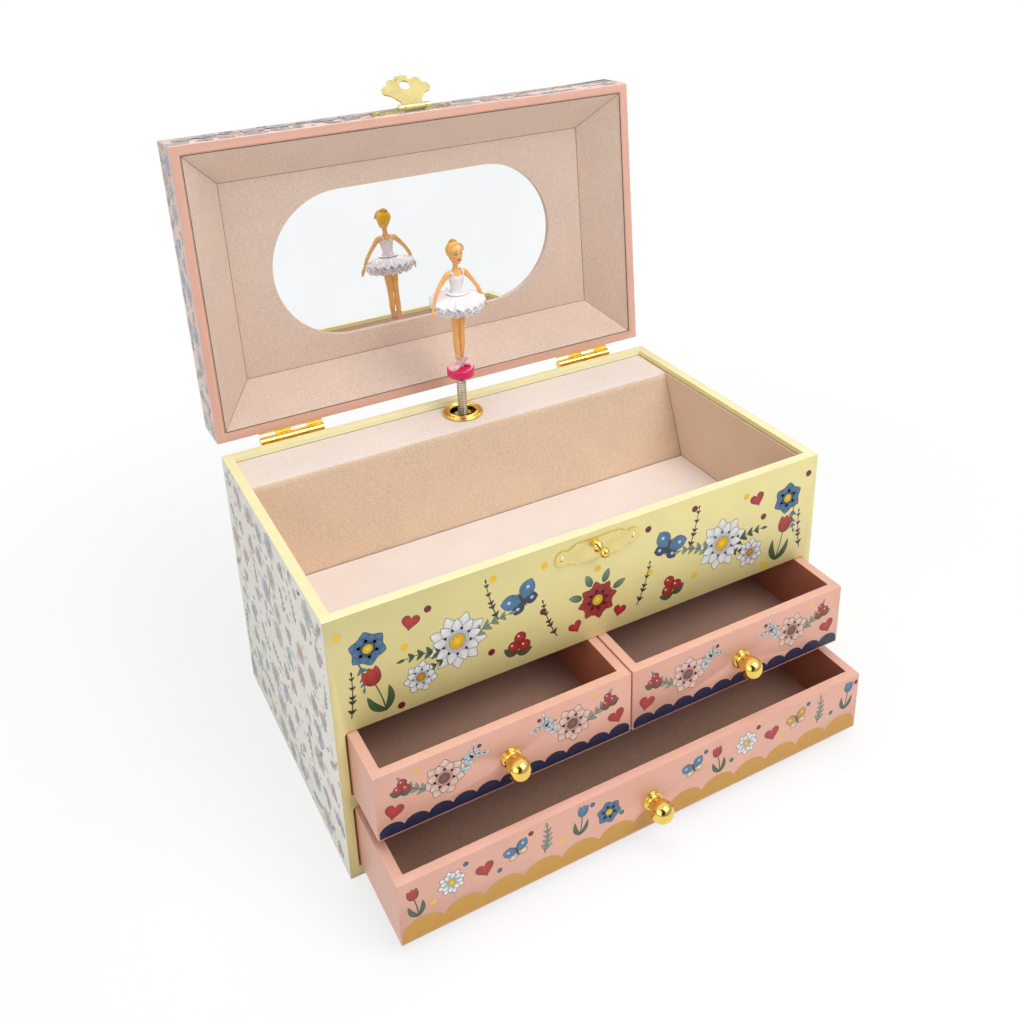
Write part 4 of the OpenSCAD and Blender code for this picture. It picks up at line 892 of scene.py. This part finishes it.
def all_over(name, body, origin, u, v, size, seed, pale=0.22, place=None, pitch=15.5):
    """Close all-over pattern of flowers, leaves and wings in muted inks on a pale ground."""
    rng = random.Random(seed)
    p = Print(name, body, origin, u, v, place)
    w, h = size
    p.clip = (0.5, 0.5, w - 0.5, h - 0.5)
    ground = srgb(240, 234, 224)
    line = lerp(srgb(66, 64, 92), ground, pale + 0.08)

    def fade(c):
        return lerp(c, ground, pale)

    lilac, haze, ochre = fade(srgb(142, 130, 176)), fade(srgb(92, 118, 162)), fade(srgb(206, 160, 76))
    stone, rose, sage = fade(srgb(166, 168, 172)), fade(srgb(186, 128, 132)), fade(srgb(120, 138, 118))
    cols, rows = max(1, round(w / pitch)), max(1, round(h / pitch))
    for r in range(rows):
        for c in range(cols):
            x = w * (c + 0.5 + 0.25 * (r % 2) - 0.12) / cols + rng.uniform(-2, 2)
            y = h * (r + 0.5) / rows + rng.uniform(-2, 2)
            x, y = min(max(x, 5), w - 5), min(max(y, 5), h - 5)
            turn, s = rng.uniform(0, 6.28), rng.uniform(0.85, 1.15) * min(1.0, h / 20 + 0.15)
            kind = (c * 5 + r * 3 + rng.randrange(2)) % 6
            a, b = rng.choice([(haze, stone), (lilac, haze), (stone, lilac), (rose, stone)])
            if kind in (0, 3):
                blossom(p, x, y, 5.6 * s, rng.choice([6, 7, 8]), turn, shade(a, 0.9), lerp(a, ground, 0.5),
                        ochre, line)
            elif kind == 1:
                sprig(p, x - 5 * cos(turn), y - 5 * sin(turn), 12 * s, turn, 0.7, sage, 4, line, 0.3)
            elif kind == 2:
                butterfly(p, x, y, 5.8 * s, a, b, turn, line)
            elif kind == 4:
                tulip(p, x + 5 * sin(turn), y - 5 * cos(turn), 13 * s, a, turn, line, sage)
            else:
                berries(p, x, y, 1.6 * s, rose, turn, line, sage)
            for _ in range(3):
                q = turn + rng.uniform(0, 6.28)
                dx, dy = x + pitch * 0.52 * cos(q), y + pitch * 0.52 * sin(q)
                if rng.random() < 0.5:
                    p.petal(dx, dy, rng.uniform(0, 6.28), 4.2, 1.5, shade(b, 0.9), lerp(b, ground, 0.3), 0,
                            line=0.1, dark=line)
                else:
                    p.disc(dx, dy, rng.uniform(0.5, 0.9), rng.choice([ochre, haze, rose]), layer=0.1,
                           sides=10)
    return p.finish()


all_over("print_left_side", "box", (-HW, HD, 0), (0, -1, 0), (0, 0, 1), (2 * HD, H), 3)
all_over("print_right_side", "box", (HW, -HD, 0), (0, 1, 0), (0, 0, 1), (2 * HD, H), 4)
all_over("print_back", "box", (HW, HD, 0), (-1, 0, 0), (0, 0, 1), (2 * HW, H), 5)
TOP = H + LID_H
all_over("print_lid_top", "lid", (-HW, -HD, TOP), (1, 0, 0), (0, 1, 0), (2 * HW, 2 * HD), 6, 0.24, LID)
for side, corner, across, length, seed in (
        ("front", (-HW, -HD, H), (1, 0, 0), 2 * HW, 7), ("back", (HW, HD, H), (-1, 0, 0), 2 * HW, 8),
        ("left", (-HW, HD, H), (0, -1, 0), 2 * HD, 9), ("right", (HW, -HD, H), (0, 1, 0), 2 * HD, 10)):
    all_over(f"print_lid_{side}", "lid", corner, across, (0, 0, 1), (length, LID_H), seed, 0.26, LID, 11.4)


# ---- dancer: modelled in millimetres over the middle of the disc's top

FOOT = Vector((0, SPINDLE_Y, 142.6))


def mesh_piece(name, verts, faces, key, place=FOOT, turn=TURN):
    me = bpy.data.meshes.new(name)
    rot = Matrix.Rotation(turn, 3, "Z")
    me.from_pydata([(rot @ Vector(v) + place) * MM for v in verts], [], faces)
    me.materials.append(M[key])
    o = new_object(name, me)
    me.shade_smooth()
    return o


def rings(sections, sides, point):
    """Vertices and faces of a closed skin through rings; point(section, angle) gives each corner."""
    verts, faces = [], []
    for s in sections:
        for i in range(sides):
            verts.append(point(s, 2 * pi * i / sides))
    n = len(sections)
    for k in range(n - 1):
        for i in range(sides):
            j = (i + 1) % sides
            faces.append((k * sides + i, k * sides + j, (k + 1) * sides + j, (k + 1) * sides + i))
    faces.append(tuple(reversed(range(sides))))
    faces.append(tuple(range((n - 1) * sides, n * sides)))
    return verts, faces


def smooth_rows(rows, per):
    """Catmull-Rom rows between the given ones."""
    out = []
    n = len(rows)
    for k in range(n - 1):
        p = [rows[min(max(k + j, 0), n - 1)] for j in (-1, 0, 1, 2)]
        for i in range(per):
            t = i / per
            out.append(tuple(0.5 * (2 * b + (c - a) * t + (2 * a - 5 * b + 4 * c - d) * t * t
                                    + (3 * b - a - 3 * c + d) * t ** 3) for a, b, c, d in zip(*p)))
    return out + [rows[-1]]


def loft(rows, sides, per=4):
    """Upright skin: rows of z, centre x, centre y, radius x, radius y."""
    def point(s, a):
        z, cx, cy, rx, ry = s
        return (cx + rx * cos(a), cy + ry * sin(a), z)
    return rings(smooth_rows(rows, per), sides, point)


def tube(rows, sides, per=4, flat=1.0):
    """Skin along a path: rows of x, y, z, radius. flat squeezes it across the path's side."""
    rows = smooth_rows(rows, per)
    frames = []
    for k, r in enumerate(rows):
        a, b = Vector(rows[max(k - 1, 0)][:3]), Vector(rows[min(k + 1, len(rows) - 1)][:3])
        t = (b - a).normalized()
        if not frames:
            u = t.cross(Vector((0, 1, 0.01))).normalized()
        else:
            u = (frames[-1][2] - t * frames[-1][2].dot(t)).normalized()
        frames.append((Vector(r[:3]), r[3], u, t.cross(u)))

    def point(f, a):
        o, r, u, v = f
        return tuple(o + u * (r * cos(a)) + v * (r * flat * sin(a)))
    return rings(frames, sides, point)


def ellipsoid(cx, cy, cz, rx, ry, rz, sides, rows):
    sections = [(pi * (k + 0.5) / rows - pi / 2) for k in range(rows)]

    def point(q, a):
        return (cx + rx * cos(q) * cos(a), cy + ry * cos(q) * sin(a), cz + rz * sin(q))
    return rings(sections, sides, point)


def join_meshes(parts):
    verts, faces = [], []
    for v, f in parts:
        base = len(verts)
        verts += v
        faces += [tuple(base + i for i in q) for q in f]
    return verts, faces


def fused(name, parts, key, voxel):
    """Several overlapping skins melted into one moulding."""
    o = mesh_piece(name, *join_meshes(parts), key)
    mod = o.modifiers.new("melt", "REMESH")
    mod.mode, mod.voxel_size = "VOXEL", voxel * MM
    mod = o.modifiers.new("relax", "SMOOTH")
    mod.iterations, mod.factor = 2, 0.5
    apply_all(o)
    o.data.shade_smooth()
    return o


skin = []
head = loft([
    (51.7, 0, -1.5, 0.3, 0.3), (51.9, 0, -1.5, 1.0, 0.9), (52.6, 0, -1.2, 1.9, 2.0),
    (53.8, 0, -0.75, 2.65, 2.85), (55.2, 0, -0.3, 3.1, 3.45), (56.8, 0, -0.05, 3.35, 3.75),
    (58.4, 0, 0.1, 3.5, 3.9), (60.0, 0, 0.25, 3.1, 3.5), (61.0, 0, 0.4, 2.2, 2.6), (61.4, 0, 0.5, 0.9, 1.1),
    (61.45, 0, 0.5, 0.3, 0.3)], 40, 5)


def features(v):
    """Brow hollow, nose, lips and chin pushed out of the front of the head."""
    x, y, z = v
    if y > -0.8:
        return v
    g = lambda cx, cz, wx, wz: exp(-((x - cx) / wx) ** 2 - ((z - cz) / wz) ** 2)
    out = 0.75 * g(0, 56.0, 0.5, 0.75) + 0.3 * g(0, 57.0, 0.35, 0.8) + 0.28 * g(0, 54.45, 0.9, 0.45)
    out += 0.2 * g(0, 52.9, 1.0, 0.6) - 0.32 * g(1.4, 57.3, 0.8, 0.6) - 0.32 * g(-1.4, 57.3, 0.8, 0.6)
    out += 0.2 * g(1.4, 57.15, 0.55, 0.4) + 0.2 * g(-1.4, 57.15, 0.55, 0.4)
    return (x, y - out, z)


skin.append(([features(v) for v in head[0]], head[1]))
skin.append(loft([
    (47.2, 0, 0.2, 3.4, 1.9), (48.3, 0, 0.15, 2.2, 1.6), (49.4, 0, 0.1, 1.45, 1.4), (51.0, 0, 0.0, 1.25, 1.3),
    (53.5, 0, 0.2, 1.5, 1.6)], 24))
skin.append(loft([
    (39.2, 0, 0, 2.5, 2.1), (41.5, 0, -0.1, 2.8, 2.35), (44.3, 0, -0.25, 3.3, 2.7),
    (46.4, 0, -0.05, 3.9, 2.3), (47.9, 0, 0.1, 3.7, 1.7), (48.5, 0, 0.15, 2.4, 1.3)], 28))
for s in (-1, 1):
    skin.append(tube([
        (s * 2.9, 0.15, 47.1, 1.5), (s * 4.4, 0.2, 46.9, 1.5), (s * 6.6, 0.4, 44.6, 1.22),
        (s * 9.2, 0.4, 41.3, 1.02), (s * 11.4, -0.2, 37.5, 1.0), (s * 13.2, -1.1, 33.2, 0.62),
        (s * 13.6, -1.4, 32.2, 0.62)], 16))
    skin.append(tube([
        (s * 13.4, -1.3, 32.7, 0.6), (s * 13.9, -1.6, 31.4, 0.95), (s * 14.2, -1.8, 30.2, 0.85)], 14, 4,
        0.55))
    for k, (dx, dy, ln) in enumerate(((0.55, -0.35, 1.7), (0.2, -0.12, 2.0), (-0.15, 0.1, 1.9),
                                      (-0.5, 0.3, 1.5))):
        x0, y0 = s * (14.15 + 0.45 * dx), -1.8 + dy
        skin.append(tube([
            (x0, y0, 30.6, 0.3), (x0 + s * 0.25 * (1 + dx), y0 - 0.2, 30.2 - ln * 0.5, 0.27),
            (x0 + s * 0.35 * (1 + dx), y0 - 0.5, 30.4 - ln, 0.17)], 8, 3))
    skin.append(tube([
        (s * 13.7, -2.0, 31.6, 0.33), (s * 13.6, -2.6, 30.9, 0.27), (s * 13.7, -2.9, 30.2, 0.18)], 8, 3))
    h = s * 0.9
    skin.append(tube([
        (s * 2.0, 0, 35.5, 2.2), (s * 2.0, 0, 32, 2.15), (s * 1.85, 0, 26, 1.85), (s * 1.62, 0, 20, 1.5),
        (s * 1.6, 0.05, 17, 1.42), (s * 1.6, 0.1, 13.5, 1.46), (s * 1.55, h * 0.5, 10, 1.4),
        (s * 1.4, h * 0.8, 6.5, 1.1), (s * 1.3, h, 3.6, 0.92), (s * 1.35, h, 1.6, 1.0)], 20))
body = fused("dancer_figure", skin, "doll_skin", 0.2)

feet = []
for s in (-1, 1):
    h = s * 0.9
    toe = Vector((s * 0.92, -0.40))
    rows = []
    for t, w, up in ((-1.5, 0.4, 0.6), (-1.2, 1.0, 1.1), (0.0, 1.3, 1.5), (1.4, 1.35, 1.3), (2.8, 1.2, 1.0),
                     (3.9, 0.85, 0.7), (4.5, 0.35, 0.4)):
        rows.append((s * 1.35 + toe.x * t * 0.86, h + toe.y * t * 1.1, up + 0.05, w))
    feet.append(tube(rows, 18))
    feet.append(tube([(s * 1.35, h, 0.9, 1.35), (s * 1.32, h, 2.6, 1.28), (s * 1.3, h, 3.6, 1.2)], 18))
for v, f in feet:
    for i, (x, y, z) in enumerate(v):
        v[i] = (x, y, max(z, 0.05) if z < 2 else z)
shoes = fused("dancer_shoes", feet, "doll_shoe", 0.16)

bands = []
for s in (-1, 1):
    h = s * 0.9
    for phase in (0.0, pi):
        pts = []
        for i in range(37):
            t = i / 36
            a = phase + s * 2.4 * pi * t
            z = 2.8 + 5.2 * t
            r = 1.16 + 0.10 * sin(3 * t) + 0.28 * max(0, t - 0.35)
            cy = h * (1 - 0.32 * t)
            pts.append((s * (1.3 + 0.1 * t) + r * cos(a), cy + r * sin(a), z, 0.24))
        bands.append(tube(pts, 6, 1))
for s in (-1, 1):
    x, y, z = s * 1.45, s * 0.9 - 1.35, 3.4
    for q in (-1, 1):
        bands.append(tube([
            (x, y, z, 0.25), (x + q * 1.3, y - 0.3, z + 0.95, 0.5), (x + q * 2.0, y - 0.2, z + 0.4, 0.55),
            (x + q * 1.3, y - 0.1, z - 0.35, 0.42), (x, y, z, 0.25)], 8, 4, 0.5))
        bands.append(tube([
            (x, y, z, 0.25), (x + q * 0.7, y - 0.2, z - 1.0, 0.3), (x + q * 1.5, y - 0.25, z - 2.3, 0.34)], 8,
            4, 0.5))
ribbons = mesh_piece("dancer_ribbons", *join_meshes(bands), "doll_shoe")

# bodice with its folds, straps and waistband
bodice = loft([
    (37.6, 0, 0, 3.0, 2.5), (39.2, 0, 0, 2.72, 2.32), (40.2, 0, 0, 2.72, 2.32), (42.4, 0, -0.15, 3.15, 2.7),
    (44.6, 0, -0.32, 3.55, 3.02), (45.9, 0, -0.25, 3.85, 2.85), (46.5, 0, -0.1, 3.88, 2.62),
    (46.6, 0, -0.1, 3.6, 2.35)], 72, 6)
rng = random.Random(11)
pleats = [rng.uniform(-1, 1) for _ in range(9)]


def pleated(v):
    x, y, z = v
    a = atan2(y, x)
    k = 0.06 * sin(16 * a + pleats[int(z) % 9]) * (1 if z < 46 else 0.3)
    dip = 0
    if z > 45.5:
        dip = 0.55 * exp(-(x / 1.6) ** 2) if y < 0 else 0.9 * exp(-(x / 2.4) ** 2)
    return (x * (1 + k / 3), y * (1 + k / 3), z - dip)


dress_parts = [([pleated(v) for v in bodice[0]], bodice[1])]
for s in (-1, 1):
    dress_parts.append(tube([
        (s * 2.2, -2.6, 45.7, 0.34), (s * 2.75, -2.1, 47.0, 0.34), (s * 3.0, -1.0, 48.35, 0.34),
        (s * 3.0, 0.3, 48.85, 0.34), (s * 2.7, 1.5, 48.2, 0.34), (s * 1.9, 2.2, 46.9, 0.34),
        (s * 0.9, 2.55, 45.6, 0.34)], 10, 5, 0.6))
dress_parts.append(tube([(2.95 * cos(a), 2.5 * sin(a), 38.6, 0.42)
                         for a in [2 * pi * i / 28 for i in range(29)]], 8, 2))
top = mesh_piece("dancer_bodice", *join_meshes(dress_parts), "doll_dress")

# tutu: a gathered skirt of four frilled layers and a small one at the waist


def frill(radius, z_in, z_out, waves, swing, thick, seed):
    """One gathered layer: smooth at the waist, ruffled along a thick rounded edge."""
    rnd = random.Random(seed)
    shift = [rnd.uniform(-0.35, 0.35) for _ in range(waves)]
    tall = [rnd.uniform(0.7, 1.2) for _ in range(waves)]
    rows = [(0.2, 0.0), (0.34, 0.02), (0.5, 0.07), (0.66, 0.2), (0.8, 0.48), (0.92, 0.85), (1.0, 1.0)]
    rows = smooth_rows(rows, 2)

    def point(row, a):
        t, g, drop = row
        k = a / (2 * pi) * waves
        i = int(k) % waves
        f = k - int(k)
        blend = f * f * (3 - 2 * f)
        amp = tall[i] * (1 - blend) + tall[(i + 1) % waves] * blend
        ph = shift[i] * (1 - blend) + shift[(i + 1) % waves] * blend
        w = cos(2 * pi * (k + 0.35 * ph))
        fine = 0.15 * cos(2 * pi * (3 * k + ph))
        r = radius * t + swing * 0.45 * g * w * amp
        z = z_in + (z_out - z_in) * t ** 1.9 + swing * g * (w + fine) * amp * 0.6 - thick * drop
        return (r * cos(a), r * sin(a), z)
    edge = [(1.025, 1.0, 0.2), (1.035, 1.0, 0.45), (1.02, 1.0, 0.75)]
    return rings([(t, g, 0.0) for t, g in rows] + edge + [(t, g, 1.0) for t, g in reversed(rows)], waves * 12,
                 point)


tutu = mesh_piece("dancer_tutu", *join_meshes([
    frill(12.1, 37.9, 34.2, 18, 1.7, 1.1, 1), frill(12.0, 37.0, 32.8, 20, 1.6, 1.1, 2),
    frill(11.6, 36.2, 31.4, 17, 1.5, 1.1, 3), frill(10.9, 35.4, 30.6, 16, 1.1, 1.1, 5),
    frill(5.0, 38.5, 38.1, 11, 0.15, 0.4, 4)]), "doll_dress")

# hair, band and knot
hair = ellipsoid(0, 0.62, 57.95, 3.86, 4.1, 4.12, 48, 36)


def strands(v):
    x, y, z = v
    a = atan2(z - 60.5, x * 1.2)
    k = 0.012 * sin(26 * a + 2.5 * sin(y)) + 0.006 * sin(53 * a)
    return (x * (1 + k), 0.62 + (y - 0.62) * (1 + k), 57.95 + (z - 57.95) * (1 + k))


knot = []
for i in range(73):
    t = i / 72
    a = 2 * pi * 2.6 * t
    r = 1.75 * (1 - 0.75 * t)
    knot.append((0.1 + r * cos(a), 1.5 + r * sin(a), 61.3 + 1.15 * t, 0.62 - 0.16 * t))
cap = mesh_piece("dancer_hair", *join_meshes([([strands(v) for v in hair[0]], hair[1])]), "doll_hair")
bun = mesh_piece("dancer_bun", *tube(knot, 12, 1), "doll_bun")
ring = []
for i in range(41):
    a = pi * (i / 40)
    ring.append((4.0 * cos(a), -1.05 - 0.75 * sin(a), 57.6 + 4.05 * sin(a), 0.42))
band = mesh_piece("dancer_band", *tube(ring, 10, 1, 0.5), "doll_band")

for piece in (body, shoes, ribbons, top, tutu, cap, bun, band):
    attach(piece, "dancer")
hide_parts("dancer")

# spring stem: a close coil round the spindle's axis
coil = []
turns, r_coil, r_wire, z0, z1 = 20, 1.94, 0.38, 115.45, 138.4
for i in range(turns * 20 + 1):
    t = i / (turns * 20)
    a = 2 * pi * turns * t
    coil.append((r_coil * cos(a), r_coil * sin(a), z0 + (z1 - z0) * t, r_wire))
spring = mesh_piece("stem_coil", *tube(coil, 8, 1), "spring", Vector((0, SPINDLE_Y, 0)), 0.0)
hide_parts("stem_spring")
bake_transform(spring)

# ---- floor, light and camera

def seen(at):
    """1 for what is looked at, straight or in metal and glass, and 0 for what only lights."""
    rays = [at.node("ShaderNodeLightPath", out=k)
            for k in ("Is Camera Ray", "Is Glossy Ray", "Is Transmission Ray")]
    return rays[0].at_least(rays[1]).at_least(rays[2])


bpy.ops.mesh.primitive_plane_add(size=6, location=(0, 0, -0.0002))
floor = bpy.context.object
floor.name = "floor"
floor.select_set(False)
fm = bpy.data.materials.new("floor_white")
fm.use_nodes = True
ft = fm.node_tree
matt = ft.nodes["Principled BSDF"]
matt.inputs["Base Color"].default_value = (0.95, 0.95, 0.95, 1)
matt.inputs["Roughness"].default_value = 0.9
matt.inputs["Specular IOR Level"].default_value = 0.1
glow = ft.nodes.new("ShaderNodeEmission")
glow.inputs["Color"].default_value = (1, 1, 1, 1)
glow.inputs["Strength"].default_value = 1.0
reach = S(ft, ft.nodes.new("ShaderNodeTexCoord").outputs["Object"])
far = reach.node("ShaderNodeVectorMath", out=1, props={"operation": "LENGTH"}, i0=reach).ramp(0.16, 0.42)
both = ft.nodes.new("ShaderNodeMixShader")
ft.links.new(((0.74 + 0.26 * far) * seen(far)).out, both.inputs[0])
ft.links.new(matt.outputs[0], both.inputs[1])
ft.links.new(glow.outputs[0], both.inputs[2])
ft.links.new(both.outputs[0], ft.nodes["Material Output"].inputs["Surface"])
floor.data.materials.append(fm)


def area_light(name, where, target, size, power, colour=(1, 1, 1)):
    data = bpy.data.lights.new(name, "AREA")
    data.shape, data.size, data.size_y = "RECTANGLE", size[0], size[1]
    data.energy, data.color = power, colour
    o = new_object(name, data)
    o.location = where
    o.rotation_euler = (Vector(target) - Vector(where)).to_track_quat("-Z", "Y").to_euler()
    return o


area_light("key", (0.45, -0.80, 1.15), (0, 0, 0.1), (0.9, 0.9), 9.8)
area_light("fill", (-1.2, -0.7, 0.7), (0, 0, 0.1), (1.2, 1.0), 5.0, (0.93, 0.96, 1.0))
area_light("top", (0.0, 0.1, 1.5), (0, 0.0, 0.1), (1.1, 1.0), 8.6).visible_glossy = False

WORLD = 0.36
world = bpy.data.worlds.new("studio")
world.use_nodes = True
bpy.context.scene.world = world
wt = world.node_tree
back = wt.nodes["Background"]
where = S(wt, wt.nodes.new("ShaderNodeTexCoord").outputs["Generated"])
look = seen(where)
dark = where.node("ShaderNodeVectorMath", out=1, props={"operation": "DOT_PRODUCT"}, i0=where,
                  i1=(-0.40, -0.73, 0.55)).ramp(0.80, 0.96)
direct = where.node("ShaderNodeLightPath", out="Is Camera Ray")
high = where.axis(2).ramp(0.05, 0.65)
studio = dark.mix(high.mix((0.42, 0.42, 0.42), (1, 1, 1)), (0.06, 0.06, 0.06))
wt.links.new(direct.mix(studio, (1, 1, 1)).out, back.inputs["Color"])
wt.links.new((WORLD + (1 - WORLD) * look).out, back.inputs["Strength"])

FRAME, FOCAL, MIDDLE = 1024, 1104.6, 310      # frame width, focal length and row of the axis, in pixels
cam_data = bpy.data.cameras.new("camera")
cam = new_object("camera", cam_data)
cam.location = (-0.19568, -0.37528, 0.36481)
cam.rotation_euler = [radians(a) for a in (67.547, 1.666, -28.289)]
cam_data.sensor_width = 36
cam_data.lens = FOCAL / FRAME * cam_data.sensor_width
cam_data.shift_y = (MIDDLE - FRAME / 2) / FRAME
cam_data.clip_start = 0.02
bpy.context.scene.camera = cam
bpy.context.scene.view_settings.view_transform = "Standard"
